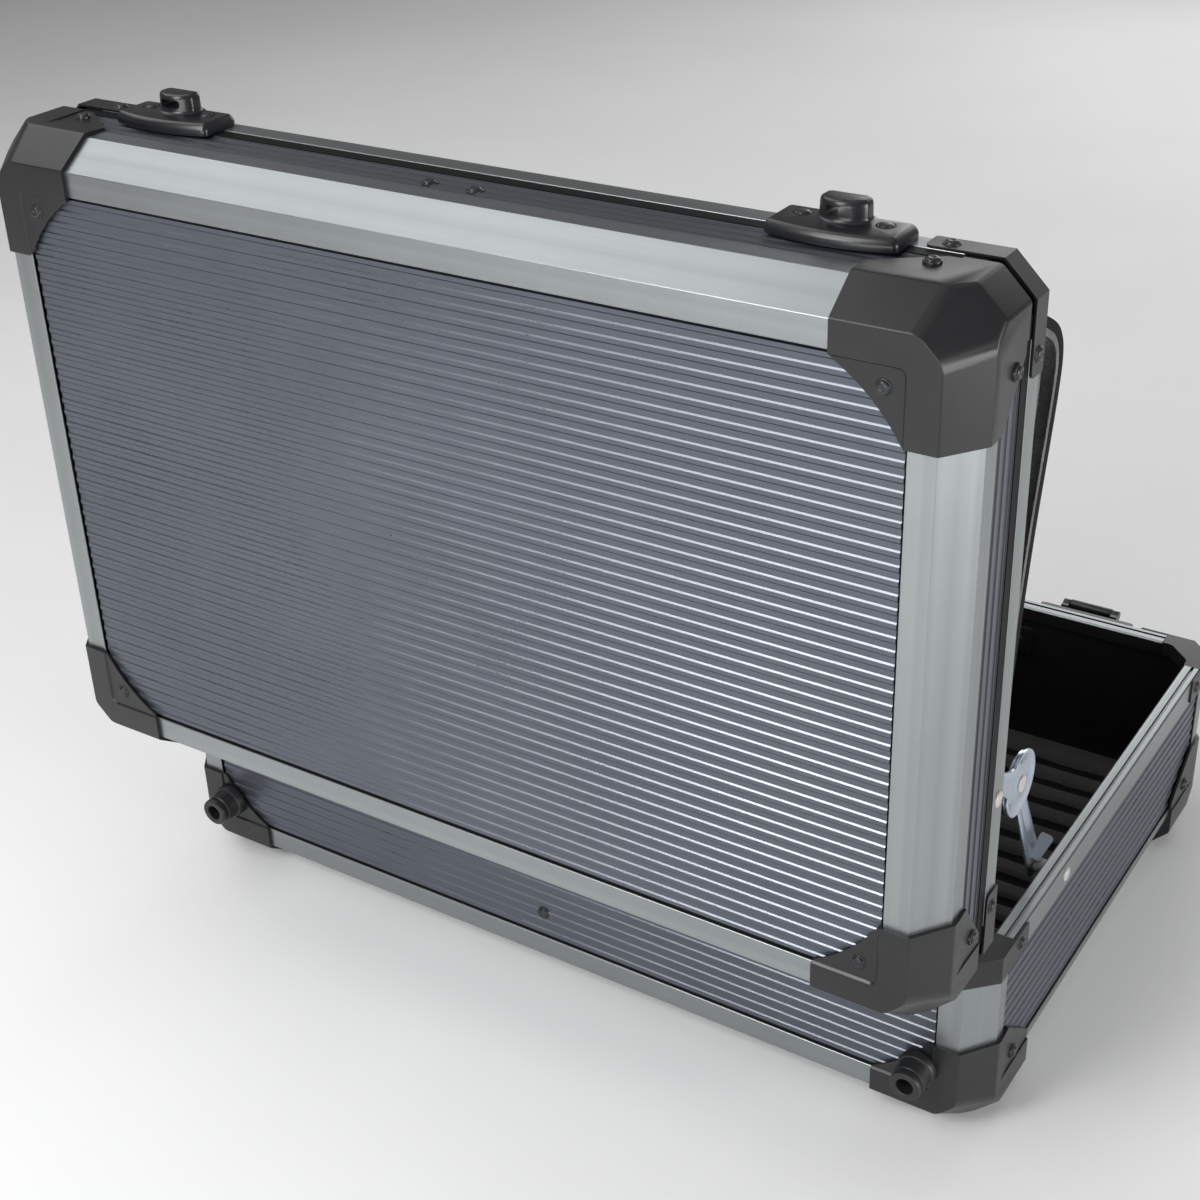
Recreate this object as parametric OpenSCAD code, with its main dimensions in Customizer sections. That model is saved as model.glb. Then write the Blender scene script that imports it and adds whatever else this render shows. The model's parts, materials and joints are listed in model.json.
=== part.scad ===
// Aluminium tool case: ribbed panels in bevelled extrusions, hinged lid, hasp latches, handle and lid stays.
// Millimetres. +X to the right, -Y to the front with latches and handle, +Z up. The lid stands open.

/* [Case] */
// Outside width over the side extrusions
case_w = 460; // [430:1:520]
// Outside depth over the front and back extrusions
case_d = 305; // [290:1:340]
// Height of the base, from its underside to the top of its rim
base_h = 98; // [94:1:112]
// Height of the lid, from its rim to its outer face
lid_h = 60; // [58:1:70]
// Angle of the open lid
lid_open = 90; // [86:1:92]
// Gap between the two rims of the closed case
seam = 0.3; // [0.2:0.05:0.8]

/* [Panels] */
// Thickness of the board panels
panel_t = 4; // [3:0.5:5]
// Distance from one rib of a panel to the next
rib_pitch = 5.7; // [5:0.1:8]
// Width of the groove between two ribs
rib_groove_w = 3.2; // [2.6:0.1:3.6]
// Depth of the groove between two ribs
rib_groove_d = 0.5; // [0.3:0.1:0.8]
// Thickness of the lining
lining_t = 1.5; // [1:0.1:2]

/* [Frame extrusions] */
// Width of the flat facet beside a large face
face_w = 11; // [9:0.5:13]
// Width of the bevel, measured along the large face
bevel_face = 11; // [9:0.5:12]
// Width of the bevel, measured along the side wall
bevel_side = 15; // [13:0.5:16]
// Height of the lip above the bevel at the sides of the underside
under_lip = 4; // [3:0.5:6]
// Wall of the extrusions where they hold a panel
lip_t = 1; // [0.8:0.1:1.2]
// Height of the lip on the side walls of the lid
lid_lip_h = 10; // [6:0.5:12]
// Height of the lip on the walls of the base
base_lip_h = 7; // [5:0.5:9]
// Width of a rim, seen from above
rim_w = 9; // [8.5:0.5:11]
// Height of the solid part of the base rim
base_rim_cap = 8; // [6:0.5:10]
// Height of the solid part of the lid rim
lid_rim_cap = 5; // [4:0.5:6]
// Height of the rim lips that hold the panels
rim_lip_h = 5.5; // [4:0.5:7]
// Width of the groove along the rim
rim_groove = 1.4; // [1:0.1:2]
// Height of the black band above the lid rim
seal_h = 6; // [4:0.5:7]

/* [Corner protectors] */
// Length of a protector along the frame
guard_leg = 51.5; // [46:0.5:58]
// Wall of a protector, outside the frame
guard_t = 1.8; // [1.4:0.1:2.4]
// How much is cut off its corner
corner_cut = 20; // [19:0.5:21]
// Radius of the hollow edge of its web
guard_arc_r = 75; // [68:1:90]
// Depth of the recess in its web
guard_recess = 0.8; // [0.4:0.1:1]
// Height of a lid protector, down the wall of the lid
lid_guard_h = 42; // [40:1:44]
// Length of a rim brace along the rim
brace_leg = 41; // [36:1:48]
// Wall of a rim brace, outside the rim
brace_t = 1; // [0.8:0.1:1.5]
// How much is cut off the corner of a rim brace
brace_cut = 17; // [14:0.5:19]

/* [Rivets] */
// Radius of a rivet head
rivet_r = 3.4; // [3:0.1:4]
// Height of a rivet head
rivet_h = 1.3; // [1:0.1:1.6]
// Distance of the corner rivets from the corner
rivet_in = 31; // [28:0.5:34]

/* [Hinge] */
// Distance of the hinge pin behind the back wall
hinge_back = 6; // [5.5:0.1:8]
// Height of the hinge pin above the base rim
hinge_up = 3; // [2.5:0.1:4]
// Radius of the hinge pin
pin_r = 1.3; // [1:0.1:1.6]
// Outer radius of the hinge knuckles
knuckle_r = 3.1; // [2.8:0.1:3.4]
// Space between each end of the hinge and the rim brace
hinge_end = 1; // [0.5:0.5:40]
// Number of knuckles
knuckles = 9; // [5:2:13]
// Thickness of the hinge leaves
leaf_t = 1.2; // [0.8:0.1:1.5]
// Height of the hinge leaves
leaf_h = 20; // [16:1:24]

/* [Latches] */
// Space between a latch and the rim brace beside it
latch_gap = 5; // [1:0.5:20]
// Width of the strike plates and the latch mounts
plate_w = 52; // [46:1:56]
// Height of the strike plates and the latch mounts
plate_h = 24; // [22:0.5:26]
// Thickness of the strike plates and the latch mounts
plate_t = 5; // [4:0.5:6]
// Width of the tab on a strike plate
tab_w = 19; // [17:0.5:20]
// Length of the tab on a strike plate, away from the rim
tab_l = 11.5; // [10:0.5:12]
// Height of the tab above its plate
tab_h = 8; // [7:0.5:9]
// Width of the window in the tab
window_w = 10; // [8:0.5:11]
// Height of the window in the tab
window_h = 3.5; // [3:0.1:4]
// Width of a hasp
hasp_w = 26; // [25:0.5:29]
// Length of a hasp from its pin
hasp_l = 44; // [42:0.5:48]
// Thickness of a hasp
hasp_t = 8; // [7:0.5:9]
// Travel of the slide in a hasp
slide_travel = 7.5; // [6.5:0.5:8]

/* [Handle] */
// Space between a handle mount and the latch mount beside it
handle_gap = 1; // [0.5:0.5:12]
// How far the handle pins lie below the top of the base
handle_drop = 22; // [20:1:28]
// Distance of the handle pins from the front wall
handle_out = 8.5; // [8:0.5:10]
// Distance from the handle pins to the middle of the grip
grip_drop = 40; // [36:1:44]
// Thickness of the grip, up and down
grip_h = 18; // [14:1:20]
// Thickness of the grip, front to back
grip_d = 20; // [16:1:22]
// Width of a handle arm
arm_w = 11.4; // [10:0.2:13]
// Radius of the handle pins
handle_pin_r = 3; // [2.5:0.1:3.5]

/* [Lid stays] */
// Length of the upper link between its rivets
upper_l = 73.6; // [73:0.1:75]
// Length of the lower link between its rivets
lower_l = 72.6; // [71:0.1:73]
// Width of the links
link_w = 13; // [11:0.5:14]
// Thickness of the links
link_t = 1.5; // [1.2:0.1:2]
// Radius of the disc at the end of the upper link
disc_r = 15.5; // [12:0.5:16]
// Radius of the stay rivets
stay_pin_r = 2.5; // [2:0.1:3]
// Place of the upper rivet along the lid, from its back wall
stay_lid_v = 86; // [82:1:90]
// Place of the lower rivet along the base rim, from the middle
stay_base_y = 65; // [62:1:68]

/* [Inside] */
// Height of the ridged pad above the lining
pad_h = 9; // [6:0.5:9]
// Distance from one ridge of the pad to the next
pad_pitch = 18.2; // [15:0.1:24]
// Width of a groove in the pad
pad_groove_w = 8; // [5:0.5:10]
// Shift of the middle groove toward the back
pad_shift = 3.7; // [-8:0.1:8]
// Depth of a groove in the pad
pad_groove_d = 4; // [2:0.5:6]
// Thickness of the outer sheet of the lid organiser
sheet_t = 7; // [5:0.5:9]
// Thickness of the inner pocket sheet
pocket_t = 3; // [2:0.5:4]
// How far the organiser stands out of the lid
bulge = 81; // [60:1:82]
// Space between the organiser and the lid stay at each side
organiser_gap = 2.7; // [1:0.1:8]

/* [Feet] */
// Length of a rubber foot on the back
foot_l = 15.2; // [12:0.2:20]
// Radius of a foot at its tip
foot_tip_r = 6.4; // [5:0.2:8]
// Radius of a foot at its root
foot_root_r = 9; // [8:0.2:11]
// Radius of the hole in the tip
foot_hole_r = 4; // [3:0.1:5]

/* [Hidden] */

$fn = 48;
over = 1;          // overrun of every cut
gap = 0.3;         // clearance between pieces that move past each other
run = 0.05;        // radial clearance of a pin in its bore
edge_break = 0.8;  // small bevel on corners

// Facets of small blended shapes
soft_fn = 32;

// Levels of the base and the closed lid
half_w = case_w / 2;
half_d = case_d / 2;
lid_z0 = base_h + seam;
lid_z1 = lid_z0 + lid_h;
inner = 2 * lip_t + panel_t;
lining_in = inner + lining_t;
diagonal = sqrt(2);
lining_bevel = 10.5;  // bevel along the edges of the linings
extrusion_bevel = 2;  // bevel inside the extrusions
seat = 1.5;        // end wall of a panel slot
sink = 0.5;        // how deep fused parts reach into each other
face_slot = bevel_face + seat;
side_slot = bevel_side + seat;
under_bevel = corner_cut + gap;   // bevel along the sides of the underside
under_slot = under_bevel + seat;
corner_slope = 0.82;              // how fast a protector's corner facet runs out down the walls
facet_reach = 31.1;               // where the facet of the corner cuts the edges of the large face
panel_reach = facet_reach + 0.4;  // the panels' corners are cut to stay behind that facet
face_end = bevel_face + face_w;
end_gap = 1;       // gap between the cut ends of the extrusions under a protector
edge_end = face_end + end_gap;
post_foot = under_bevel + under_lip + end_gap;
rim_end = 26;      // distance of the rims' ends from the corner
base_rim_h = base_rim_cap + rim_lip_h;
lid_rim_h = lid_rim_cap + rim_lip_h;
rim_groove_share = 0.36;          // place of the groove across the rim
guard_strip = 22.5;               // width of a protector's legs on the large face
guard_tip = 1;                    // straight end of a protector's leg
guard_heel = 1.5;                 // straight piece where the hollow edge starts
base_guard_trim = 2.5;            // how much shorter the upright leg of a base protector is
guard_narrow = rivet_in - rivet_r + guard_tip;
wall_band = bevel_side + face_w;  // depth of a protector's legs on the walls
floor_cut = guard_leg - bevel_side - base_lip_h;

// Hinge axis
hinge_y = half_d + hinge_back;
hinge_z = base_h + hinge_up;
hinge_l = case_w - 2 * (brace_leg + hinge_end);
knuckle_l = hinge_l / knuckles;
leaf_root = 1;     // height of the bend between a leaf and its knuckles
leaf_lap = 0.1;    // how far the bend overlaps the leaf
leaf_bend = 0.4;   // how far the bend stands off the wall at the rim
pin_over = 1;      // how far the pin stands out at each end
pin_head_t = 0.8;
pin_head_step = 0.9;

// Latch axis and places
latch_x = half_w - brace_leg - latch_gap - plate_w / 2;
hasp_float = 0.5;  // gap between a closed hasp and the plates
latch_drop = 2;    // how far the latch pins lie below the base rim
latch_out = plate_t + hasp_t / 2 + hasp_float;
latch_z = base_h - latch_drop;
latch_y = -half_d - latch_out;
latch_pin_r = 1.5;
latch_knuckle_r = 3;
knuckle_w = 23;
ear_w = 4;
ear_r = 2.6;
ear_inset = 0.2;   // step between an ear's rounded end and its web
plate_drop = 0.5;
plate_bow = 4;     // how far the far edge of a plate bows out
plate_slope = 1.2; // how far the upper half of a plate stays behind the lower
tab_wall = 1.8;
tab_round_share = 0.62;
window_up = 2.3;   // height of the window above the plate
plate_rivet_x = 16;
plate_rivet_w = 8;
plate_rivet_r = 3.2;
plate_rivet_h = 0.9;
strike_w0 = 1.5;   // distance of a strike plate from the rim plane
tab_w0 = 3.5;      // distance of its tab from the rim plane
hole_side = 0.7;   // room round the tab in the hole of a hasp
hole_near = 3.7;   // distance of that hole from the pin
hole_far = lid_z0 + tab_w0 + tab_l - latch_z + hole_side;
hasp_shoulder = 1.5;
hasp_step = 0.3;
hasp_chamfer = 5;
channel_end = 2.4; // wall below the channel of the tongue
tongue_w = 9;
tongue_t = 2.9;
tongue_off = 0.45; // how far the tongue lies inward of the middle of the hasp
tongue_tip = 11;
pad_from = 25;
thumb_l = 8;
thumb_w = 14;
thumb_out = 2.5;

// Handle
handle_y = -half_d - handle_out;
handle_z = base_h - handle_drop;
clevis_t = 4;
clevis_r = 6;
mount_w = 38;
mount_h = 30;
mount_t = 2.5;
mount_low = 4;     // how far the mount's middle lies below the pins
mount_rivet_x = 14.5;
mount_rivet_z = 11;
mount_rivet_r = 3;
mount_rivet_h = 1;
handle_x = latch_x - plate_w / 2 - handle_gap - mount_w / 2;
grip_back = 2;     // how far the grip's middle lies outward of its pins
grip_round = 4;    // radius of the grip's edges
arm_share = 0.52;  // half depth of a handle arm as a share of its width
backing_w = 40;
backing_h = 16;
backing_t = 1.5;
backing_up = 1;    // height of the backing plates above the handle pins
screw_x = 12;
screw_r = 3.2;
screw_h = 1.2;

// Stay layers, from the inner side of the rim inward
stay_x = half_w - rim_w;
stay_room = 4;     // space between the rim and the outer link
upper_x = stay_x - stay_room;
lower_x = upper_x - link_t - gap;
stay_head_r = 4;
stay_head_t = 1;
stay_shoulder = 1;
stay_drop = 6;     // how far the lower rivet lies below the base rim
stay_base_z = base_h - stay_drop;
stay_lid_w = 6;    // distance of the upper rivet from the lid's rim plane
link_end_share = 0.385;  // half width of a link at its disc, as a share of its width
disc_step = 1;     // how much smaller the disc of the lower link is
foot_y = 4;        // near corner of the bent tab at the foot of the lower link, from its rivet
foot_up = 6.9;
foot_w = 4.5;      // width of the tab at its near and its far end
foot_far_w = 6;
foot_long = 16.5;  // length of the tab along its outer and its inner edge
foot_inner = 15;
foot_tilt = 32;    // how far the tab leans outward
foot_rise = 14;    // how far it rises to the front
foot_bed = 1;      // how far the tab's ear stays below the tab's upper face
foot_ear = 3;      // height of the ear at its far end
foot_inset = 0.2;  // how far the foot stays behind the faces of the link

// The organiser is as wide as the lid stays leave room
organiser_w = 2 * (lower_x - link_t - stay_head_t - organiser_gap);
pocket_inset = 2;
pocket_w = organiser_w - 2 * pocket_inset;

// Organiser outline as shares of the lid's depth and of the bulge
organiser_shares = [
    [0.066, 0.02], [0.072, 0.2], [0.115, 0.40], [0.20, 0.56], [0.32, 0.68], [0.45, 0.765],
    [0.55, 0.835], [0.63, 0.905], [0.70, 0.965], [0.745, 0.995], [0.775, 1], [0.80, 0.975],
    [0.825, 0.90], [0.848, 0.76], [0.868, 0.60], [0.885, 0.40], [0.893, 0.20], [0.895, 0.02]
];
pocket_shares = [
    [0.12, 0.02], [0.135, 0.12], [0.20, 0.27], [0.32, 0.43], [0.45, 0.545], [0.55, 0.62], [0.63, 0.69],
    [0.70, 0.75], [0.745, 0.775], [0.785, 0.77], [0.815, 0.70], [0.83, 0.45], [0.84, 0.1]
];

// Turns a point of the closed lid, given from the back wall and from the rim, to where the open lid has it
function lid_point(v, w) =
    let (dy = half_d - v - hinge_y, dz = lid_z0 + w - hinge_z)
    [hinge_y + dy * cos(lid_open) + dz * sin(lid_open), hinge_z - dy * sin(lid_open) + dz * cos(lid_open)];

// Where circles about p and q meet, on the left of the way from p to q
function elbow(p, q, rp, rq) =
    let (d = norm(q - p), a = (d * d + rp * rp - rq * rq) / (2 * d), h = sqrt(max(0, rp * rp - a * a)),
         u = (q - p) / d)
    p + a * u + h * [-u[1], u[0]];

stay_p1 = lid_point(stay_lid_v, stay_lid_w);
stay_p2 = [stay_base_y, stay_base_z];
stay_e = elbow(stay_p2, stay_p1, lower_l, upper_l);

alu = [0.78, 0.81, 0.83];
panel_blue = [0.38, 0.41, 0.46];
black = [0.16, 0.16, 0.17];
lining_black = [0.09, 0.09, 0.10];
zinc = [0.80, 0.84, 0.88];
rubber = [0.12, 0.12, 0.13];

// Carries the closed lid to its open place
module on_lid() {
    translate([0, hinge_y, hinge_z])
        rotate([-lid_open, 0, 0])
            translate([0, -hinge_y, -hinge_z])
                children();
}

// Puts a piece made for the left front corner, with its corner at the origin, on any corner
module at_corner(sx, sy, z) {
    translate([sx * half_w, sy * half_d, z])
        mirror([sx > 0 ? 1 : 0, 0, 0])
            mirror([0, sy > 0 ? 1 : 0, 0])
                children();
}

// A box from its low corner to its high corner
module block(low, high) {
    translate(low) cube(high - low);
}

// Runs a profile along X; its first coordinate goes to Y and its second to Z
module along_x(length) {
    translate([-length / 2, 0, 0]) rotate([90, 0, 90]) linear_extrude(length) children();
}

// Runs a profile along Y; its first coordinate goes to X and its second to Z
module along_y(length) {
    translate([0, length / 2, 0]) rotate([90, 0, 0]) linear_extrude(length) children();
}

// Extrusion at an edge, with bevels and lips along the large face and down the side wall
module edge_profile(along, down, lip_along, lip_down, inside) {
    a = along + lip_along;
    b = down + lip_down;
    polygon([
        [a, 0], [along, 0], [0, down], [0, b],
        [lip_t, b], [lip_t, down + seat], [lip_t + panel_t, down + seat],
        [lip_t + panel_t, b], [inner, b],
        [inner, inner + inside], [inner + inside, inner], [a, inner],
        [a, lip_t + panel_t], [along + seat, lip_t + panel_t], [along + seat, lip_t], [a, lip_t]
    ]);
}

module frame_profile(lip) {
    edge_profile(bevel_face, bevel_side, face_w, lip, extrusion_bevel);
}

module under_profile() {
    edge_profile(under_bevel, under_bevel, face_w, under_lip, lining_bevel);
}

// Rectangle about the origin with cut corners
module cut_rect(hx, hy, c) {
    polygon([[hx - c, -hy], [hx, -hy + c], [hx, hy - c], [hx - c, hy],
             [-hx + c, hy], [-hx, hy - c], [-hx, -hy + c], [-hx + c, -hy]]);
}

// Rim extrusion: first coordinate inward from the wall, second away from the rim plane
module rim_profile(cap) {
    lip_end = cap + rim_lip_h;
    difference() {
        polygon([
            [edge_break, 0], [rim_w - edge_break, 0], [rim_w, edge_break], [rim_w, cap],
            [inner, cap], [inner, lip_end], [lip_t + panel_t, lip_end], [lip_t + panel_t, cap],
            [lip_t, cap], [lip_t, lip_end], [0, lip_end], [0, edge_break]
        ]);
        translate([rim_w * rim_groove_share, -over]) square([rim_groove, over + rim_groove]);
    }
}

// Ribbed board: its profile is as high as the board is wide, and the ribs face the first coordinate
module rib_profile(height, from, to) {
    count = max(1, floor((to - from) / rib_pitch));
    first = (from + to) / 2 - (count - 1) * rib_pitch / 2;
    difference() {
        square([panel_t, height]);
        for (i = [0 : count - 1])
            translate([-over, first + i * rib_pitch - rib_groove_w / 2])
                square([over + rib_groove_d, rib_groove_w]);
    }
}

// Walls of the base

module base_floor_panel() {
    color(panel_blue) {
        block([-half_w + under_slot, -half_d + side_slot, lip_t],
              [half_w - under_slot, half_d - side_slot, lip_t + panel_t]);
        linear_extrude(lip_t)
            cut_rect(half_w - under_bevel - face_w, half_d - bevel_side - base_lip_h, floor_cut);
    }
}

wall_top = base_h - base_rim_cap;

// Front or back wall: side is -1 or 1
module base_long_panel(side) {
    trim = panel_reach - 2 * face_slot;
    color(panel_blue)
        intersection() {
            mirror([0, side > 0 ? 1 : 0, 0])
                translate([0, -half_d + lip_t, face_slot])
                    along_x(case_w - 2 * face_slot)
                        rib_profile(wall_top - face_slot, face_w - seat, base_h - base_rim_h - face_slot);
            translate([0, case_d, face_slot + base_h])
                rotate([90, 0, 0])
                    linear_extrude(2 * case_d) cut_rect(half_w - face_slot, base_h, trim);
            linear_extrude(base_h) cut_rect(half_w, half_d, brace_cut + gap);
        }
}

// Left or right wall: side is -1 or 1
module base_short_panel(side) {
    color(panel_blue)
        mirror([side > 0 ? 1 : 0, 0, 0])
            translate([-half_w + lip_t, 0, under_slot])
                along_y(case_d - 2 * side_slot)
                    rib_profile(wall_top - under_slot, under_lip - seat, base_h - base_rim_h - under_slot);
}

module base_front_panel() { base_long_panel(-1); }
module base_back_panel() { base_long_panel(1); }
module base_left_panel() { base_short_panel(-1); }
module base_right_panel() { base_short_panel(1); }

// Extrusions of the base

// The large face of a long edge is the front or back wall
module base_long_edge(side) {
    color(alu)
        mirror([0, side > 0 ? 1 : 0, 0])
            translate([0, -half_d, 0])
                along_x(case_w - 2 * edge_end)
                    mirror([1, -1]) frame_profile(base_lip_h);
}

// The large face of a short edge is the underside
module base_short_edge(side) {
    color(alu)
        mirror([side > 0 ? 1 : 0, 0, 0])
            translate([-half_w, 0, 0])
                along_y(case_d - 2 * (bevel_side + base_lip_h + end_gap))
                    under_profile();
}

module base_edge_front() { base_long_edge(-1); }
module base_edge_back() { base_long_edge(1); }
module base_edge_left() { base_short_edge(-1); }
module base_edge_right() { base_short_edge(1); }

module base_corner_posts() {
    color(alu)
        for (sx = [-1, 1], sy = [-1, 1])
            at_corner(sx, sy, post_foot)
                linear_extrude(base_h - base_rim_h - post_foot)
                    frame_profile(base_lip_h);
}

module base_long_rim(side) {
    color(alu)
        mirror([0, side > 0 ? 1 : 0, 0])
            translate([0, -half_d, base_h])
                along_x(case_w - 2 * rim_end)
                    mirror([0, 1]) rim_profile(base_rim_cap);
}

module base_short_rim(side) {
    color(alu)
        mirror([side > 0 ? 1 : 0, 0, 0])
            translate([-half_w, 0, base_h])
                along_y(case_d - 2 * rim_end)
                    mirror([0, 1]) rim_profile(base_rim_cap);
}

module base_rim_front() { base_long_rim(-1); }
module base_rim_back() { base_long_rim(1); }
module base_rim_left() { base_short_rim(-1); }
module base_rim_right() { base_short_rim(1); }

// Corner protectors

// Takes away all that lies beyond the facet of the corner, moved out
module plane_cut(out) {
    n = [1, 1, corner_slope];
    big = 4 * guard_leg;
    rotate([0, acos(n[2] / norm(n)), atan2(n[1], n[0])])
        translate([-big / 2, -big / 2, facet_reach / norm(n) - out - big])
            cube(big);
}

// A strip of wedge along one axis, beyond the line that cuts the two others at a and b
module bevel_cut(a, b, out) {
    n = norm([a, b]);
    shift_a = out * n / b;
    shift_b = out * n / a;
    linear_extrude(4 * guard_leg, center = true)
        polygon([[a - shift_a, 0], [0, b - shift_b], [-2 * b, b - shift_b + 2 * b * b / a],
                 [-4 * guard_leg, -4 * guard_leg], [a - shift_a + 2 * a * a / b, -2 * a]]);
}

// The solid of a corner: p and q along the large face, r into the depth, with its faces moved out
module corner_solid(length_p, length_q, length_r, out) {
    difference() {
        block([-out, -out, -out], [length_p, length_q, length_r]);
        rotate([90, 0, 0]) mirror([0, 0, 1]) bevel_cut(bevel_face, bevel_side, out);
        rotate([0, -90, 0]) mirror([0, 0, 1]) mirror([1, -1, 0]) bevel_cut(bevel_face, bevel_side, out);
        bevel_cut(corner_cut, corner_cut, out);
        plane_cut(out);
    }
}

// Outline on the large face, with the hollow edge of the web between the legs
module guard_face(length_p, length_q) {
    far = guard_leg - guard_tip;
    near = guard_strip + guard_heel;
    // centre of the arc through (far, near) and (near, far)
    mid = (far + near) / 2;
    half_chord = (far - near) / sqrt(2);
    c = mid + sqrt(guard_arc_r * guard_arc_r - half_chord * half_chord) / sqrt(2);
    a0 = atan2(near - c, far - c);
    a1 = atan2(far - c, near - c);
    turn = (a1 - a0) % 360;
    step = (turn > 180 ? turn - 360 : turn < -180 ? turn + 360 : turn) / 8;
    polygon(concat(
        [[-2 * guard_t, -2 * guard_t], [length_p, -2 * guard_t], [length_p, guard_strip]],
        [for (i = [0 : 8]) [c + guard_arc_r * cos(a0 + i * step), c + guard_arc_r * sin(a0 + i * step)]],
        [[guard_strip, length_q], [-2 * guard_t, length_q]]
    ));
}

// Outline on a wall: a band along the frame that narrows toward the full depth at the corner
module guard_wall(length, depth) {
    low = -2 * guard_t;
    translate([0, 0, low])
        linear_extrude(2 * guard_leg)
            polygon([[low, low], [length, low], [length, wall_band], [guard_narrow, depth], [low, depth]]);
}

// Protector with its legs on the large face and its depth down the walls
module guard(length_q, depth) {
    color(black)
        difference() {
            intersection() {
                difference() {
                    corner_solid(guard_leg, length_q, depth, guard_t);
                    corner_solid(2 * guard_leg, 2 * guard_leg, 2 * guard_leg, 0);
                }
                translate([0, 0, -2 * guard_t]) linear_extrude(2 * guard_leg) guard_face(guard_leg, length_q);
                rotate([90, 0, 0]) mirror([0, 0, 1]) guard_wall(guard_leg, depth);
                rotate([0, -90, 0]) mirror([0, 0, 1]) mirror([1, -1, 0]) guard_wall(length_q, depth);
            }
            translate([guard_strip, guard_strip, -guard_t - over])
                cube([guard_leg, guard_leg, over + guard_recess]);
        }
}

// On the base the large face of a protector is the front or back wall, so its q goes up
module base_guard(sx, sy) {
    at_corner(sx, sy, 0)
        mirror([0, 1, -1])
            guard(guard_leg - base_guard_trim, guard_leg);
}

module base_guard_front_left() { base_guard(-1, -1); }
module base_guard_front_right() { base_guard(1, -1); }
module base_guard_back_left() { base_guard(-1, 1); }
module base_guard_back_right() { base_guard(1, 1); }

module lid_guard(sx, sy) {
    on_lid()
        at_corner(sx, sy, lid_z1)
            mirror([0, 0, 1])
                guard(guard_leg, lid_guard_h);
}

module lid_guard_front_left() { lid_guard(-1, -1); }
module lid_guard_front_right() { lid_guard(1, -1); }
module lid_guard_back_left() { lid_guard(-1, 1); }
module lid_guard_back_right() { lid_guard(1, 1); }

// Braces round the corners of the rims

// Band round a corner, as deep as far, seen from above; its outer side is moved out
module brace_plan(leg, out, far) {
    turn = diagonal - 1;
    near_cut = brace_cut - out * turn;
    far_cut = brace_cut + far * turn;
    polygon([[leg, -out], [near_cut, -out], [-out, near_cut], [-out, leg],
             [far, leg], [far, far_cut], [far_cut, far], [leg, far]]);
}

module rim_brace(cap) {
    linear_extrude(cap) brace_plan(rim_end, 0, rim_w);
    linear_extrude(cap + rim_lip_h) brace_plan(brace_leg, brace_t, 0);
}

module base_rim_braces() {
    color(black)
        for (sx = [-1, 1], sy = [-1, 1])
            at_corner(sx, sy, base_h) mirror([0, 0, 1]) rim_brace(base_rim_cap);
}

module lid_rim_braces() {
    color(black)
        on_lid()
            for (sx = [-1, 1], sy = [-1, 1])
                at_corner(sx, sy, lid_z0) rim_brace(lid_rim_cap);
}

// Linings

// Solid with bevelled edges and corners, open side up
module tub(inset, low, high, cut) {
    intersection() {
        along_x(case_w) tub_profile(half_d - inset, low, high, cut);
        along_y(case_d) tub_profile(half_w - inset, low, high, cut);
        linear_extrude(high) cut_rect(half_w - inset, half_d - inset, cut);
    }
}

module tub_profile(half, low, high, cut) {
    polygon([[-half, high], [-half, low + cut], [-half + cut, low],
             [half - cut, low], [half, low + cut], [half, high]]);
}

// The bevel of a tub inside the lining
inside_bevel = lining_bevel - lining_t * (2 - diagonal);

module lining(height) {
    difference() {
        tub(inner, inner, height, lining_bevel);
        tub(lining_in, lining_in, height + over, inside_bevel);
    }
}

module base_lining() {
    color(lining_black) lining(base_h - base_rim_cap);
}

module lid_lining() {
    color(lining_black)
        on_lid()
            translate([0, 0, lid_z1]) mirror([0, 0, 1]) lining(lid_h - lid_rim_cap);
}

module floor_pad() {
    pad_d = case_d - 2 * lining_in;
    // the outer grooves stay clear of the pad's edges
    count = floor((pad_d - 2 * pad_shift - pad_groove_w) / pad_pitch);
    top = lining_in + pad_h;
    color(lining_black)
        difference() {
            intersection() {
                tub(lining_in, lining_in, base_h, inside_bevel);
                block([-half_w, -half_d, 0], [half_w, half_d, top]);
            }
            for (i = [0 : count - 1])
                translate([0, (i - (count - 1) / 2) * pad_pitch + pad_shift, top - pad_groove_d])
                    block([-case_w, -pad_groove_w / 2, 0], [case_w, pad_groove_w / 2, pad_groove_d + over]);
        }
}

// Rubber feet on the back, so that the case can stand upright; a stem fills the recess of the protector
feet_in = 28.5;             // distance of a foot from the side of the case
feet_z = 34.5;              // height of a foot
foot_collar_share = 0.3;    // length of its collar
foot_hole_share = 0.4;      // where its hole ends
foot_round = 1;             // bevel round its tip

module rear_feet() {
    stem_r = feet_in - guard_strip - gap;
    color(rubber)
        for (sx = [-1, 1])
            translate([sx * (half_w - feet_in), half_d + guard_t, feet_z])
                rotate([-90, 0, 0])
                    difference() {
                        rotate_extrude()
                            polygon([[0, -guard_recess], [stem_r, -guard_recess], [stem_r, 0],
                                     [foot_root_r, 0], [foot_root_r, foot_l * foot_collar_share],
                                     [foot_tip_r + foot_round, foot_l - foot_round],
                                     [foot_tip_r, foot_l], [0, foot_l]]);
                        translate([0, 0, foot_l * foot_hole_share]) cylinder(r = foot_hole_r, h = foot_l);
                    }
}

// Rivets
brace_rivet_in = 33;   // distance of a brace rivet from the corner
side_rivet_in = 32;    // distance of a lid protector's side rivet from the corner
guard_rivet_z = 30;    // height of a rivet on the side of a base protector
web_rivet_z = 32;      // height of a rivet in the web of a base protector
panel_rivet_z = 36;    // height of the rivet in the back panel
wall_rivet_w = 26;     // distance of a lid protector's wall rivets from the rim plane
middle_rivet_w = 27;   // distance of the middle rivets from the rim plane
middle_rivet_x = 10.8; // half the distance of the two rivets in the middle of the front

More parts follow.
